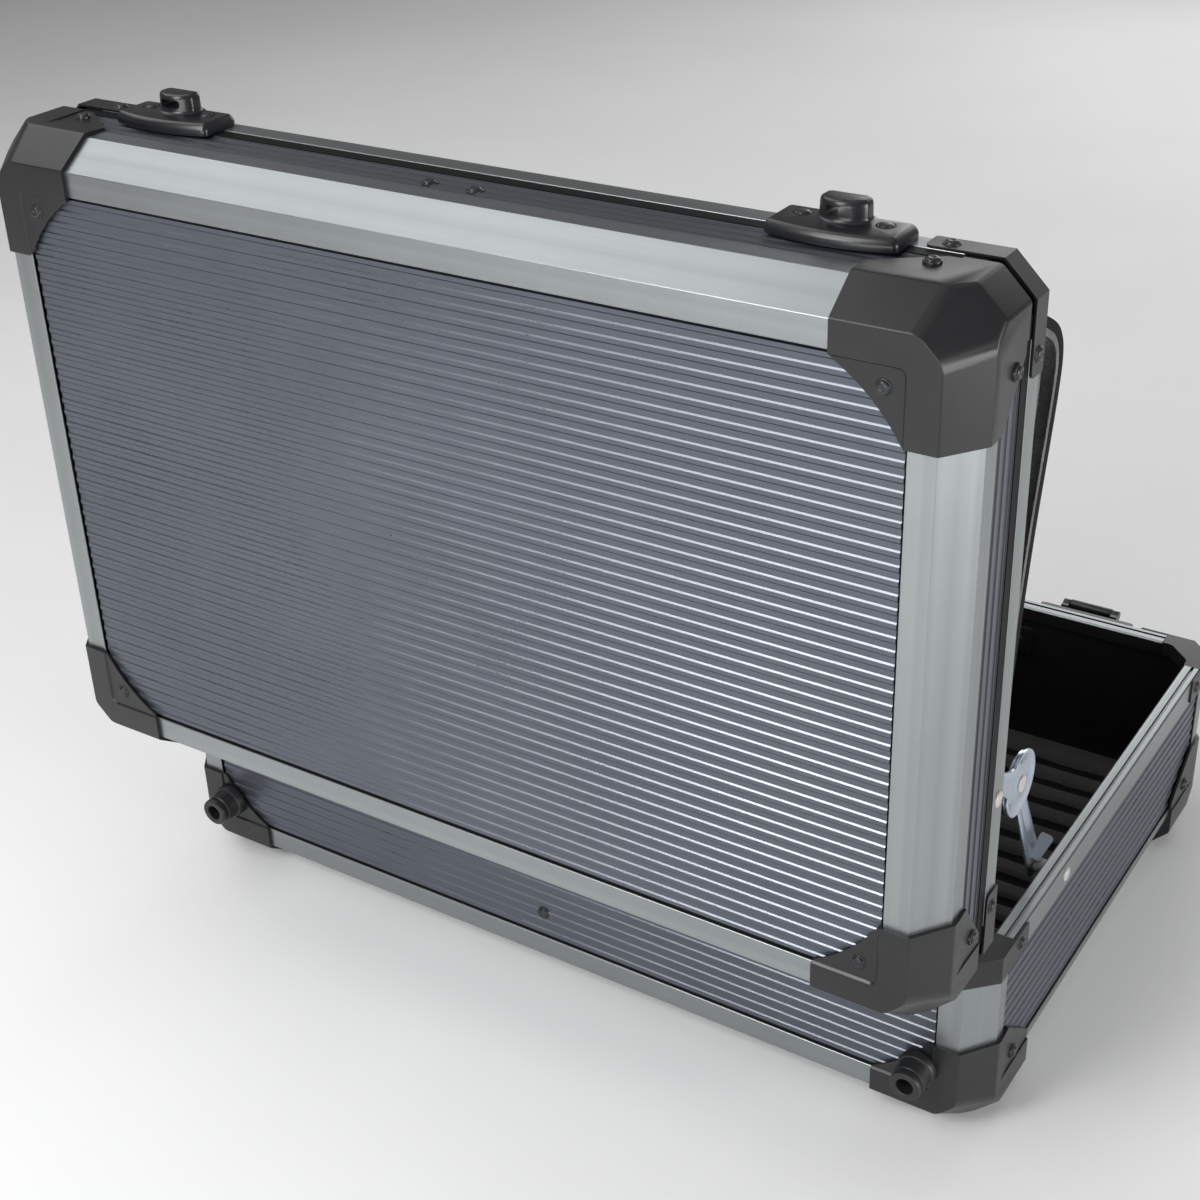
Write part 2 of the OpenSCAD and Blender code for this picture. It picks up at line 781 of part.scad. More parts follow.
// Domed head on a face at the origin, standing along +Z
module rivet_head(r, h) {
    sphere_r = (r * r + h * h) / (2 * h);
    intersection() {
        translate([0, 0, h - sphere_r]) sphere(r = sphere_r);
        cylinder(r = r, h = h + over);
    }
}

// Head that faces outward from a side wall, at x = s * (half_w + out)
module side_rivet(s, out, y, z) {
    translate([s * (half_w + out), y, z]) rotate([0, s * 90, 0]) rivet_head(rivet_r, rivet_h);
}

// Head that faces outward from the front or back wall
module wall_rivet(s, out, x, z) {
    translate([x, s * (half_d + out), z]) rotate([-s * 90, 0, 0]) rivet_head(rivet_r, rivet_h);
}

module base_rivets() {
    brace_z = base_h - base_rim_h / 2;
    color(black) {
        for (s = [-1, 1], t = [-1, 1]) {
            side_rivet(s, guard_t, t * (half_d - brace_rivet_in), guard_rivet_z);
            side_rivet(s, brace_t, t * (half_d - brace_rivet_in), brace_z);
            wall_rivet(t, brace_t, s * (half_w - brace_rivet_in), brace_z);
        }
        for (s = [-1, 1])
            wall_rivet(-1, guard_t - guard_recess, s * (half_w - feet_in), web_rivet_z);
        wall_rivet(1, -lip_t, 0, panel_rivet_z);
    }
    color(zinc)
        for (s = [-1, 1]) {
            side_rivet(s, 0, stay_base_y, stay_base_z);
            stay_rivet(s, stay_p2, lower_x - link_t);
        }
}

module lid_rivets() {
    brace_w = lid_rim_h / 2;
    web_top = lid_z1 + guard_t - guard_recess;
    color(black)
        on_lid()
            for (s = [-1, 1]) {
                for (t = [-1, 1]) {
                    translate([s * (half_w - rivet_in), t * (half_d - rivet_in), web_top])
                        rivet_head(rivet_r, rivet_h);
                    side_rivet(s, guard_t, t * (half_d - side_rivet_in), lid_z0 + wall_rivet_w);
                    wall_rivet(t, guard_t, s * (half_w - rivet_in), lid_z0 + wall_rivet_w);
                    side_rivet(s, brace_t, t * (half_d - brace_rivet_in), lid_z0 + brace_w);
                    wall_rivet(t, brace_t, s * (half_w - brace_rivet_in), lid_z0 + brace_w);
                }
                wall_rivet(-1, -lip_t, s * middle_rivet_x, lid_z0 + middle_rivet_w);
            }
    color(zinc)
        for (s = [-1, 1]) {
            on_lid() side_rivet(s, 0, half_d - stay_lid_v, lid_z0 + stay_lid_w);
            stay_rivet(s, stay_p1, upper_x - link_t);
        }
}

// Shouldered stay rivet from the rim to past the link, whose inner face is at x = face
module stay_rivet(s, at, face) {
    mirror([s > 0 ? 1 : 0, 0, 0])
        translate([-stay_x, at[0], at[1]])
            rotate([0, 90, 0]) {
                cylinder(r = stay_pin_r, h = stay_x - face + gap);
                cylinder(r = stay_pin_r + stay_shoulder, h = stay_x - face - link_t - gap);
                translate([0, 0, stay_x - face + gap]) cylinder(r = stay_head_r, h = stay_head_t);
            }
}

// Hinge

// Leaf with every second knuckle, made for the base; first is 0 or 1
module leaf(first) {
    knuckle_low = hinge_up - knuckle_r;
    leaf_top = leaf_lap - leaf_root;
    color(alu)
        difference() {
            union() {
                for (i = [first : 2 : knuckles - 1])
                    translate([(i + 0.5) * knuckle_l - hinge_l / 2, 0, 0]) {
                        translate([-(knuckle_l - gap) / 2, hinge_back, hinge_up])
                            rotate([0, 90, 0]) cylinder(r = knuckle_r, h = knuckle_l - gap);
                        along_x(knuckle_l - gap)
                            polygon([[0, -leaf_root], [leaf_t, -leaf_root], [hinge_back, knuckle_low],
                                     [hinge_back, knuckle_low + leaf_t], [leaf_bend, 0]]);
                    }
                along_x(hinge_l)
                    polygon([[0, -leaf_h], [leaf_t, -leaf_h], [leaf_t, leaf_top], [0, leaf_top]]);
            }
            translate([-hinge_l, hinge_back, hinge_up])
                rotate([0, 90, 0]) cylinder(r = pin_r + run, h = 2 * hinge_l);
        }
}

module hinge_base_leaf() {
    translate([0, half_d, base_h]) leaf(0);
}

// The lid leaf is the same leaf turned over about the pin
module hinge_lid_leaf() {
    on_lid()
        translate([0, half_d, base_h + 2 * hinge_up]) mirror([0, 0, 1]) leaf(1);
}

module hinge_pin() {
    color(zinc)
        translate([-hinge_l / 2 - pin_over, hinge_y, hinge_z]) {
            rotate([0, 90, 0]) cylinder(r = pin_r, h = hinge_l + 2 * pin_over);
            for (x = [0, hinge_l + 2 * pin_over - pin_head_t])
                translate([x, 0, 0]) rotate([0, 90, 0]) cylinder(r = pin_r + pin_head_step, h = pin_head_t);
        }
}

// Latches

// Plate with a bowed far edge and soft corners, seen from the front; its near edge is at y = 0
module plate_outline() {
    r = (plate_w * plate_w / 4 + plate_bow * plate_bow) / (2 * plate_bow);
    intersection() {
        translate([-plate_w / 2, 0]) square([plate_w, plate_h]);
        translate([0, plate_h - r]) circle(r = r, $fn = 160);
    }
}

// Two steps give the plate its sloping sides; it stands along +Z
module bowed_plate() {
    step = plate_t / 2;
    linear_extrude(step) plate_outline();
    translate([0, 0, step]) linear_extrude(plate_t - step) offset(delta = -plate_slope) plate_outline();
}

// Turns a piece drawn in the front view to the front wall: its height goes outward, its y goes up
module on_front(x, y, z) {
    translate([x, y, z]) rotate([90, 0, 0]) children();
}

module tab_outline(shrink) {
    w = tab_w - 2 * shrink;
    l = tab_l - 2 * shrink;
    translate([0, shrink])
        intersection() {
            translate([-w / 2, 0]) square([w, l]);
            translate([0, l - w * tab_round_share]) circle(r = w * tab_round_share, $fn = 96);
        }
}

module strike() {
    window_z = plate_t + window_up;
    difference() {
        union() {
            bowed_plate();
            translate([0, tab_w0 - strike_w0, 0]) linear_extrude(plate_t + tab_h) tab_outline(0);
        }
        translate([0, tab_w0 - strike_w0, window_z])
            linear_extrude(tab_h - window_up - tab_wall) tab_outline(tab_wall);
        translate([-window_w / 2, -over, window_z])
            cube([window_w, plate_h, window_h]);
    }
}

module strike_plates() {
    low = lid_z0 + strike_w0;
    color(black)
        on_lid()
            for (s = [-1, 1]) {
                on_front(s * latch_x, -half_d, low) strike();
                for (t = [-1, 1])
                    on_front(s * latch_x + t * plate_rivet_x, -half_d - plate_t, low + plate_rivet_w)
                        rivet_head(plate_rivet_r, plate_rivet_h);
            }
}

module latch_mount() {
    ear_in = knuckle_w / 2 + gap;
    top = base_h - plate_drop;
    color(black) {
        on_front(0, -half_d, top) mirror([0, 1, 0]) bowed_plate();
        for (t = [-1, 1])
            difference() {
                translate([t > 0 ? ear_in : -ear_in - ear_w, 0, 0]) {
                    translate([0, latch_y, latch_z]) rotate([0, 90, 0]) cylinder(r = ear_r, h = ear_w);
                    block([0, latch_y, latch_z - ear_r + ear_inset], [ear_w, -half_d - plate_t + sink, top]);
                }
                translate([-plate_w, latch_y, latch_z]) rotate([0, 90, 0])
                    cylinder(r = latch_pin_r, h = 2 * plate_w);
            }
    }
    color(zinc)
        translate([-ear_in - ear_w, latch_y, latch_z]) rotate([0, 90, 0])
            cylinder(r = latch_pin_r, h = 2 * (ear_in + ear_w));
}

module latch_mounts() {
    for (s = [-1, 1]) translate([s * latch_x, 0, 0]) latch_mount();
}

// Hasp hanging from its pin at the origin: -Z along its length, -Y outward
module hasp_body() {
    hole = tab_w / 2 + hole_side;
    side = hasp_w / 2;
    near = -hole_near - hasp_step;
    color(black)
        difference() {
            union() {
                translate([-knuckle_w / 2, 0, 0])
                    rotate([0, 90, 0]) cylinder(r = latch_knuckle_r, h = knuckle_w);
                block([-knuckle_w / 2, -hasp_t / 2, -hole_near - over],
                      [knuckle_w / 2, hasp_t / 2, -hasp_shoulder]);
                translate([0, hasp_t / 2, 0]) rotate([90, 0, 0]) linear_extrude(hasp_t)
                    polygon([[-side, near], [side, near], [side, -hasp_l + hasp_chamfer],
                             [side - hasp_chamfer, -hasp_l], [-side + hasp_chamfer, -hasp_l],
                             [-side, -hasp_l + hasp_chamfer]]);
            }
            translate([-plate_w, 0, 0]) rotate([0, 90, 0]) cylinder(r = latch_pin_r + run, h = 2 * plate_w);
            block([-hole, -hasp_t, -hole_far], [hole, hasp_t, -hole_near]);
            block([-tongue_w / 2 - gap, tongue_y0 - gap, -hasp_l + channel_end],
                  [tongue_w / 2 + gap, tongue_y0 + tongue_t + gap, -hole_near - over]);
            block([-thumb_w / 2 - gap, tongue_y0, -pad_from - thumb_l - slide_travel - gap],
                  [thumb_w / 2 + gap, hasp_t, -pad_from + gap]);
        }
}

// Inner face of the tongue channel when the hasp hangs; turned over it meets the window
tongue_y0 = -tongue_off - tongue_t / 2;

module hasp_slide() {
    color(black) {
        block([-tongue_w / 2, tongue_y0, -pad_from - thumb_l],
              [tongue_w / 2, tongue_y0 + tongue_t, -tongue_tip]);
        block([-thumb_w / 2, tongue_y0 + tongue_t, -pad_from - thumb_l],
              [thumb_w / 2, hasp_t / 2 + thumb_out, -pad_from]);
    }
}

module at_latch(s) {
    translate([s * latch_x, latch_y, latch_z]) children();
}

module latch_hasp_left() { at_latch(-1) hasp_body(); }
module latch_hasp_right() { at_latch(1) hasp_body(); }
module latch_slide_left() { at_latch(-1) hasp_slide(); }
module latch_slide_right() { at_latch(1) hasp_slide(); }

// Handle

module handle_mounts() {
    ear_in = arm_w / 2 + gap;
    wall_y = -half_d + lip_t;
    for (s = [-1, 1])
        translate([s * handle_x, 0, 0]) {
            color(black)
                difference() {
                    union() {
                        block([-mount_w / 2, wall_y - mount_t, handle_z - mount_h / 2 - mount_low],
                              [mount_w / 2, wall_y, base_h - base_rim_h]);
                        for (t = [-1, 1])
                            translate([t > 0 ? ear_in : -ear_in - clevis_t, 0, 0]) {
                                translate([0, handle_y, handle_z]) rotate([0, 90, 0])
                                    cylinder(r = clevis_r, h = clevis_t);
                                block([0, handle_y, handle_z - clevis_r],
                                      [clevis_t, wall_y - mount_t + sink, handle_z + clevis_r]);
                            }
                    }
                    translate([-mount_w, handle_y, handle_z]) rotate([0, 90, 0])
                        cylinder(r = handle_pin_r, h = 2 * mount_w);
                }
            color(zinc)
                translate([-ear_in - clevis_t, handle_y, handle_z]) rotate([0, 90, 0])
                    cylinder(r = handle_pin_r, h = 2 * (ear_in + clevis_t));
            color(zinc)
                for (t = [-1, 1])
                    translate([t * mount_rivet_x, wall_y - mount_t, handle_z - mount_rivet_z])
                        rotate([90, 0, 0]) rivet_head(mount_rivet_r, mount_rivet_h);
        }
}

module grip_section() {
    offset(r = grip_round, $fn = soft_fn) offset(delta = -grip_round) square([grip_d, grip_h], center = true);
}

module handle_grip() {
    arm_h = arm_w * arm_share;
    span = 2 * handle_x + arm_w;
    color(black)
        translate([0, handle_y, handle_z])
            difference() {
                union() {
                    translate([0, -grip_back, -grip_drop]) along_x(span) grip_section();
                    for (s = [-1, 1])
                        translate([s * handle_x - arm_w / 2, 0, 0]) {
                            rotate([0, 90, 0]) cylinder(r = arm_h, h = arm_w);
                            block([0, -arm_h, -grip_drop], [arm_w, arm_h, 0]);
                        }
                }
                translate([-case_w / 2, 0, 0]) rotate([0, 90, 0])
                    cylinder(r = handle_pin_r + run, h = case_w);
            }
}

// Black plates inside the front wall that take the screws of the handle
module backing_plates() {
    color(black)
        for (s = [-1, 1])
            translate([s * handle_x, -half_d + lining_in, handle_z + backing_up]) {
                block([-backing_w / 2, 0, -backing_h / 2], [backing_w / 2, backing_t, backing_h / 2]);
                for (t = [-1, 1])
                    translate([t * screw_x, backing_t, 0]) rotate([-90, 0, 0]) rivet_head(screw_r, screw_h);
            }
}

// Lid

module lid_top_panel() {
    hx = half_w - face_slot;
    hy = half_d - face_slot;
    trim = panel_reach - 2 * face_slot;
    color(panel_blue)
        on_lid()
            intersection() {
                translate([0, hy, lid_z1 - lip_t])
                    rotate([180, 0, 0])
                        along_x(2 * hx)
                            mirror([1, -1]) rib_profile(2 * hy, face_w - seat, 2 * hy - face_w + seat);
                linear_extrude(lid_z1 + over) cut_rect(hx, hy, trim);
            }
}

module lid_wall_panels() {
    low = lid_z0 + lid_rim_cap;
    high = lid_z1 - side_slot;
    wall_end = corner_cut + lip_t;
    rib_from = seal_h + rim_lip_h;
    rib_to = high - low - lid_lip_h + seat;
    color(panel_blue)
        on_lid() {
            for (s = [0, 1]) {
                mirror([0, s, 0])
                    translate([0, -half_d + lip_t, low])
                        along_x(case_w - 2 * wall_end) rib_profile(high - low, rib_from, rib_to);
                mirror([s, 0, 0])
                    translate([-half_w + lip_t, 0, low])
                        along_y(case_d - 2 * wall_end) rib_profile(high - low, rib_from, rib_to);
            }
        }
}

module lid_long_edge(side) {
    color(alu)
        on_lid()
            mirror([0, side > 0 ? 1 : 0, 0])
                translate([0, -half_d, lid_z1])
                    along_x(case_w - 2 * edge_end) mirror([0, 1]) frame_profile(lid_lip_h);
}

module lid_short_edge(side) {
    color(alu)
        on_lid()
            mirror([side > 0 ? 1 : 0, 0, 0])
                translate([-half_w, 0, lid_z1])
                    along_y(case_d - 2 * edge_end) mirror([0, 1]) frame_profile(lid_lip_h);
}

module lid_edge_front() { lid_long_edge(-1); }
module lid_edge_back() { lid_long_edge(1); }
module lid_edge_left() { lid_short_edge(-1); }
module lid_edge_right() { lid_short_edge(1); }

module lid_long_rim(side) {
    color(alu)
        on_lid()
            mirror([0, side > 0 ? 1 : 0, 0])
                translate([0, -half_d, lid_z0])
                    along_x(case_w - 2 * rim_end) rim_profile(lid_rim_cap);
}

module lid_short_rim(side) {
    color(alu)
        on_lid()
            mirror([side > 0 ? 1 : 0, 0, 0])
                translate([-half_w, 0, lid_z0])
                    along_y(case_d - 2 * rim_end) rim_profile(lid_rim_cap);
}

module lid_rim_front() { lid_long_rim(-1); }
module lid_rim_back() { lid_long_rim(1); }
module lid_rim_left() { lid_short_rim(-1); }
module lid_rim_right() { lid_short_rim(1); }

// Outline of the case, its walls moved in
module ring_plan(inset) {
    cut = brace_cut - inset * (2 - diagonal);
    cut_rect(half_w - inset, half_d - inset, cut);
}

module lid_seal() {
    low = lid_z0 + lid_rim_h;
    color(rubber)
        on_lid()
            translate([0, 0, low])
                linear_extrude(seal_h)
                    difference() {
                        ring_plan(gap);
                        ring_plan(lip_t);
                    }
}

// Organiser in the lid: an outer sheet that bulges forward and a pocket sheet behind it

// Points of an outline in the closed lid: y from the shares of depth, z from the shares of bulge
function organiser_path(shares) =
    [for (s = shares) [half_d - s[0] * case_d, lid_z0 - s[1] * bulge]];

// Unit normal at point i of a path, to the left of the way along it
function path_normal(p, i) =
    let (a = p[max(0, i - 1)], b = p[min(len(p) - 1, i + 1)], d = (b - a) / norm(b - a)) [-d[1], d[0]];

module sheet(path, thick, width) {
    other = [for (i = [len(path) - 1 : -1 : 0]) path[i] + thick * path_normal(path, i)];
    along_x(width) polygon(concat(path, other));
}

module organiser_sheet() {
    path = organiser_path(organiser_shares);
    first = path[0];
    last = path[len(path) - 1];
    deep = lid_z1 - lining_in;
    color(black)
        on_lid()
            sheet(concat([[first[0], deep]], path, [[last[0], deep]]), -sheet_t, organiser_w);
}

module organiser_pocket() {
    path = organiser_path(pocket_shares);
    first = path[0];
    last = path[len(path) - 1];
    deep = lid_z1 - lining_in;
    color(lining_black)
        on_lid()
            sheet(concat([[first[0], deep]], path, [[last[0], deep]]), -pocket_t, pocket_w);
}

// Lid stays

// Link of length l from the origin toward +Y, with a bore at its rivet and a disc at its end; thick along X
module link(l, end_r) {
    rotate([0, -90, 0])
        difference() {
            union() {
                cylinder(r = link_w / 2, h = link_t);
                translate([0, l, 0]) cylinder(r = end_r, h = link_t);
                linear_extrude(link_t)
                    polygon([[-link_w / 2, 0], [link_w / 2, 0],
                             [link_w * link_end_share, l], [-link_w * link_end_share, l]]);
            }
            translate([0, 0, -over]) cylinder(r = stay_pin_r + run, h = link_t + 2 * over);
        }
}

// Puts a link, drawn for the left side with its outer face at x = -face, at its rivet
module on_stay(s, face, at) {
    mirror([s > 0 ? 1 : 0, 0, 0])
        translate([-face + link_t, at[0], at[1]])
            children();
}

// Ear in the plane of the link, and the tab bent outward from it; the link's rivet is at the origin
module stay_foot() {
    far_y = foot_y - foot_inner * cos(foot_rise);
    far_up = foot_up + foot_inner * sin(foot_rise);
    bore_r = stay_pin_r + run + foot_inset;
    translate([foot_inset - link_t, 0, 0])
        rotate([90, 0, 90])
            linear_extrude(link_t - 2 * foot_inset)
                polygon([[foot_y, bore_r], [foot_y, foot_up - foot_bed], [far_y, far_up - foot_bed],
                         [far_y, far_up - foot_ear], [-link_w / 2 + foot_inset, bore_r]]);
    translate([-foot_inset, foot_y, foot_up])
        rotate([-foot_rise, 0, 0])
            rotate([0, -foot_tilt, 0])
                translate([0, 0, -link_t])
                    linear_extrude(link_t)
                        polygon([[0, 0], [-foot_w, 0], [-foot_far_w, -foot_long], [0, -foot_inner]]);
}

module stay_lower(s) {
    d = stay_e - stay_p2;
    color(zinc)
        on_stay(s, lower_x, stay_p2) {
            rotate([atan2(d[1], d[0]), 0, 0]) {
                link(lower_l, disc_r - disc_step);
                translate([0, lower_l, 0]) rotate([0, 90, 0]) rivet_head(stay_head_r, stay_head_t);
            }
            stay_foot();
        }
}

module stay_upper(s) {
    d = stay_e - stay_p1;
    color(zinc)
        on_stay(s, upper_x, stay_p1)
            rotate([atan2(d[1], d[0]), 0, 0]) {
                link(upper_l, disc_r);
                translate([-link_t, upper_l, 0]) rotate([0, -90, 0]) rivet_head(stay_head_r, stay_head_t);
            }
}

module stay_upper_left() { stay_upper(-1); }
module stay_upper_right() { stay_upper(1); }
module stay_lower_left() { stay_lower(-1); }
module stay_lower_right() { stay_lower(1); }

base_floor_panel();
base_front_panel();
base_back_panel();
base_left_panel();
base_right_panel();
base_edge_front();
base_edge_back();
base_edge_left();
base_edge_right();
base_corner_posts();
base_rim_front();
base_rim_back();
base_rim_left();
base_rim_right();
base_guard_front_left();
base_guard_front_right();
base_guard_back_left();
base_guard_back_right();
base_rim_braces();
base_lining();
floor_pad();
rear_feet();
base_rivets();
hinge_base_leaf();
hinge_pin();
latch_mounts();
handle_mounts();
backing_plates();
lid_top_panel();
lid_wall_panels();
lid_edge_front();
lid_edge_back();
lid_edge_left();
lid_edge_right();
lid_rim_front();
lid_rim_back();
lid_rim_left();
lid_rim_right();
lid_guard_front_left();
lid_guard_front_right();
lid_guard_back_left();
lid_guard_back_right();
lid_rim_braces();
lid_seal();
lid_lining();
organiser_sheet();
organiser_pocket();
strike_plates();
hinge_lid_leaf();
lid_rivets();
handle_grip();
latch_hasp_left();
latch_hasp_right();
latch_slide_left();
latch_slide_right();
stay_upper_left();
stay_upper_right();
stay_lower_left();
stay_lower_right();
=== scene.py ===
"""Aluminium tool case: materials, detailed pieces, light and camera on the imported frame."""

import json
import math

import bmesh
import bpy
from mathutils import Matrix, Vector, noise


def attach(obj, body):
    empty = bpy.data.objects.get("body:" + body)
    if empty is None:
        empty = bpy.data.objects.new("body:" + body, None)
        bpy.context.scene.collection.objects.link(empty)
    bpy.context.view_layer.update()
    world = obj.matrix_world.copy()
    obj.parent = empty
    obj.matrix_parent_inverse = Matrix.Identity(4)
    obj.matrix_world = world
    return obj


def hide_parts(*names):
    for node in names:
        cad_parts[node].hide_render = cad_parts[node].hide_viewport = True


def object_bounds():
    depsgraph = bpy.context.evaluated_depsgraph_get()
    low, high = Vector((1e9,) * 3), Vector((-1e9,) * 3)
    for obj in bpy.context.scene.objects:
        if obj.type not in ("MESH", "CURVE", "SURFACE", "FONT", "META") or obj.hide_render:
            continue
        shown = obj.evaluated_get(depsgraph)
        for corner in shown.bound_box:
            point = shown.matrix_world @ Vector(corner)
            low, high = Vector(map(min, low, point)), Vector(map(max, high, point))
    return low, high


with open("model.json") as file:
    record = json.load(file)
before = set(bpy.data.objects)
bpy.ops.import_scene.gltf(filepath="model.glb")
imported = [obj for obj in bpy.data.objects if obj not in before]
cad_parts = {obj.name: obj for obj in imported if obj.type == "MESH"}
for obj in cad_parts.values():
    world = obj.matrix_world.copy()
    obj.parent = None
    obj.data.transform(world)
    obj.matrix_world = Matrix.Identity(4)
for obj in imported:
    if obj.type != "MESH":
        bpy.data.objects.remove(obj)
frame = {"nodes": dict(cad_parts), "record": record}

cad_low, cad_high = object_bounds()
nodes = frame["nodes"]
scene = bpy.context.scene
MM = 0.001

# Sizes of the case in millimetres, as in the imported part. The lid's pieces are drawn shut, and
# OPEN turns them about the hinge to where they are at rest.
HALF_W, HALF_D, BASE_H = 230.0, 152.5, 98.0
LID_Z0, LID_Z1 = 98.3, 158.3
HINGE_Y, HINGE_Z = 158.5, 101.0
PITCH, GROOVE_W, GROOVE_D = 5.7, 3.2, 0.5
BOARD_IN = 1  # the boards lie this far inside the frame's faces
GUARD_T, BRACE_T = 1.8, 1  # the protectors and braces stand this far outside
OPEN = (
    Matrix.Translation((0, HINGE_Y, HINGE_Z))
    @ Matrix.Rotation(math.radians(-90), 4, "X")
    @ Matrix.Translation((0, -HINGE_Y, -HINGE_Z))
)
SIDES = ((-1, "left"), (1, "right"))
ENDS = ((-1, "front"), (1, "back"))


# Materials: noise scales are per metre, and depths of bumps are in metres

GRAIN_DEPTH, FIBRE_DEPTH = 0.0002, 0.0004


def material(name):
    m = bpy.data.materials.new(name)
    m.use_nodes = True
    tree = m.node_tree
    return m, tree, tree.nodes["Principled BSDF"]


def link(tree, a, b):
    tree.links.new(a, b)


def object_coords(tree, scale):
    """Object coordinates, stretched by a scale for each axis."""
    coords = tree.nodes.new("ShaderNodeTexCoord")
    mapping = tree.nodes.new("ShaderNodeMapping")
    mapping.inputs["Scale"].default_value = scale
    link(tree, coords.outputs["Object"], mapping.inputs["Vector"])
    return mapping.outputs["Vector"]


def noise_value(tree, scale, detail=3.0, rough=0.55, stretch=(1, 1, 1)):
    n = tree.nodes.new("ShaderNodeTexNoise")
    n.inputs["Scale"].default_value = scale
    n.inputs["Detail"].default_value = detail
    n.inputs["Roughness"].default_value = rough
    link(tree, object_coords(tree, stretch), n.inputs["Vector"])
    return n.outputs["Fac"]


def ramp(tree, value, stops):
    r = tree.nodes.new("ShaderNodeValToRGB")
    e = r.color_ramp.elements
    while len(e) < len(stops):
        e.new(0.5)
    for item, (at, colour) in zip(e, stops):
        item.position = at
        item.color = (*colour, 1)
    link(tree, value, r.inputs["Fac"])
    return r.outputs["Color"]


def span(tree, value, low, high, from_low=0.0, from_high=1.0):
    m = tree.nodes.new("ShaderNodeMapRange")
    m.inputs["From Min"].default_value = from_low
    m.inputs["From Max"].default_value = from_high
    m.inputs["To Min"].default_value = low
    m.inputs["To Max"].default_value = high
    link(tree, value, m.inputs["Value"])
    return m.outputs["Result"]


def bump(tree, bsdf, height, strength, distance):
    b = tree.nodes.new("ShaderNodeBump")
    b.inputs["Strength"].default_value = strength
    b.inputs["Distance"].default_value = distance
    link(tree, height, b.inputs["Height"])
    link(tree, b.outputs["Normal"], bsdf.inputs["Normal"])


def multiply(tree, a, b):
    mix = tree.nodes.new("ShaderNodeMix")
    mix.data_type = "RGBA"
    mix.blend_type = "MULTIPLY"
    mix.inputs["Factor"].default_value = 1.0
    link(tree, a, mix.inputs["A"])
    link(tree, b, mix.inputs["B"])
    return mix.outputs["Result"]


def drawn_metal(tree, bsdf, drawn, metallic, strength):
    """Satin finish whose roughness and bump follow fine drawn lines."""
    bsdf.inputs["Metallic"].default_value = metallic
    link(tree, span(tree, drawn, 0.30, 0.44), bsdf.inputs["Roughness"])
    bump(tree, bsdf, drawn, strength, GRAIN_DEPTH)


def aluminium(name, along):
    """Satin anodised extrusion with fine drawn lines along one axis."""
    m, tree, bsdf = material(name)
    stretch = [1.0, 1.0, 1.0]
    stretch[along] = 0.004
    drawn = noise_value(tree, 900, 2, 0.6, stretch)
    broad = noise_value(tree, 160, 2, 0.5, stretch)
    blotch = noise_value(tree, 14, 4, 0.6)
    base = ramp(tree, broad, [(0.3, (0.295, 0.315, 0.320)), (0.7, (0.345, 0.368, 0.372))])
    shade = ramp(tree, blotch, [(0.35, (0.94, 0.94, 0.94)), (0.65, (1, 1, 1))])
    link(tree, multiply(tree, base, shade), bsdf.inputs["Base Color"])
    drawn_metal(tree, bsdf, drawn, 1.0, 0.1)
    return m


def board(name, along):
    """Blue-grey metallic laminate."""
    m, tree, bsdf = material(name)
    stretch = [1.0, 1.0, 1.0]
    stretch[along] = 0.01
    drawn = noise_value(tree, 700, 2, 0.6, stretch)
    blotch = noise_value(tree, 9, 3, 0.6)
    base = ramp(tree, blotch, [(0.3, (0.100, 0.112, 0.137)), (0.7, (0.118, 0.131, 0.159))])
    link(tree, base, bsdf.inputs["Base Color"])
    drawn_metal(tree, bsdf, drawn, 0.7, 0.06)
    return m


def satin(name, low, high, rough=(0.38, 0.5), metallic=0.0, grain=2600, strength=0.12, coat=0.0,
          specular=0.5):
    """Moulded or painted surface with a fine grain and slight clouds between two colours."""
    m, tree, bsdf = material(name)
    cloud = noise_value(tree, 22, 4, 0.6)
    fine = noise_value(tree, grain, 2, 0.5)
    link(tree, ramp(tree, cloud, [(0.3, low), (0.7, high)]), bsdf.inputs["Base Color"])
    bsdf.inputs["Metallic"].default_value = metallic
    link(tree, span(tree, cloud, rough[0], rough[1], 0.3, 0.7), bsdf.inputs["Roughness"])
    bsdf.inputs["Coat Weight"].default_value = coat
    bsdf.inputs["Coat Roughness"].default_value = 0.12
    bsdf.inputs["Specular IOR Level"].default_value = specular
    bump(tree, bsdf, fine, strength, GRAIN_DEPTH)
    return m


def fabric(name, low, high, cell, strength, sheen, specular=0.5):
    """Short pile: cells of fibre, cloudy colour and a soft sheen."""
    m, tree, bsdf = material(name)
    v = tree.nodes.new("ShaderNodeTexVoronoi")
    v.inputs["Scale"].default_value = cell
    v.inputs["Randomness"].default_value = 1.0
    link(tree, object_coords(tree, (1, 1, 1)), v.inputs["Vector"])
    cloud = ramp(tree, noise_value(tree, 60, 5, 0.65), [(0.3, low), (0.7, high)])
    fibres = ramp(tree, v.outputs["Distance"], [(0.0, (1, 1, 1)), (0.7, (0.72, 0.72, 0.72))])
    link(tree, multiply(tree, cloud, fibres), bsdf.inputs["Base Color"])
    bsdf.inputs["Roughness"].default_value = 0.95
    bsdf.inputs["Sheen Weight"].default_value = sheen
    bsdf.inputs["Sheen Roughness"].default_value = 0.5
    bsdf.inputs["Specular IOR Level"].default_value = specular
    bump(tree, bsdf, v.outputs["Distance"], strength, FIBRE_DEPTH)
    return m


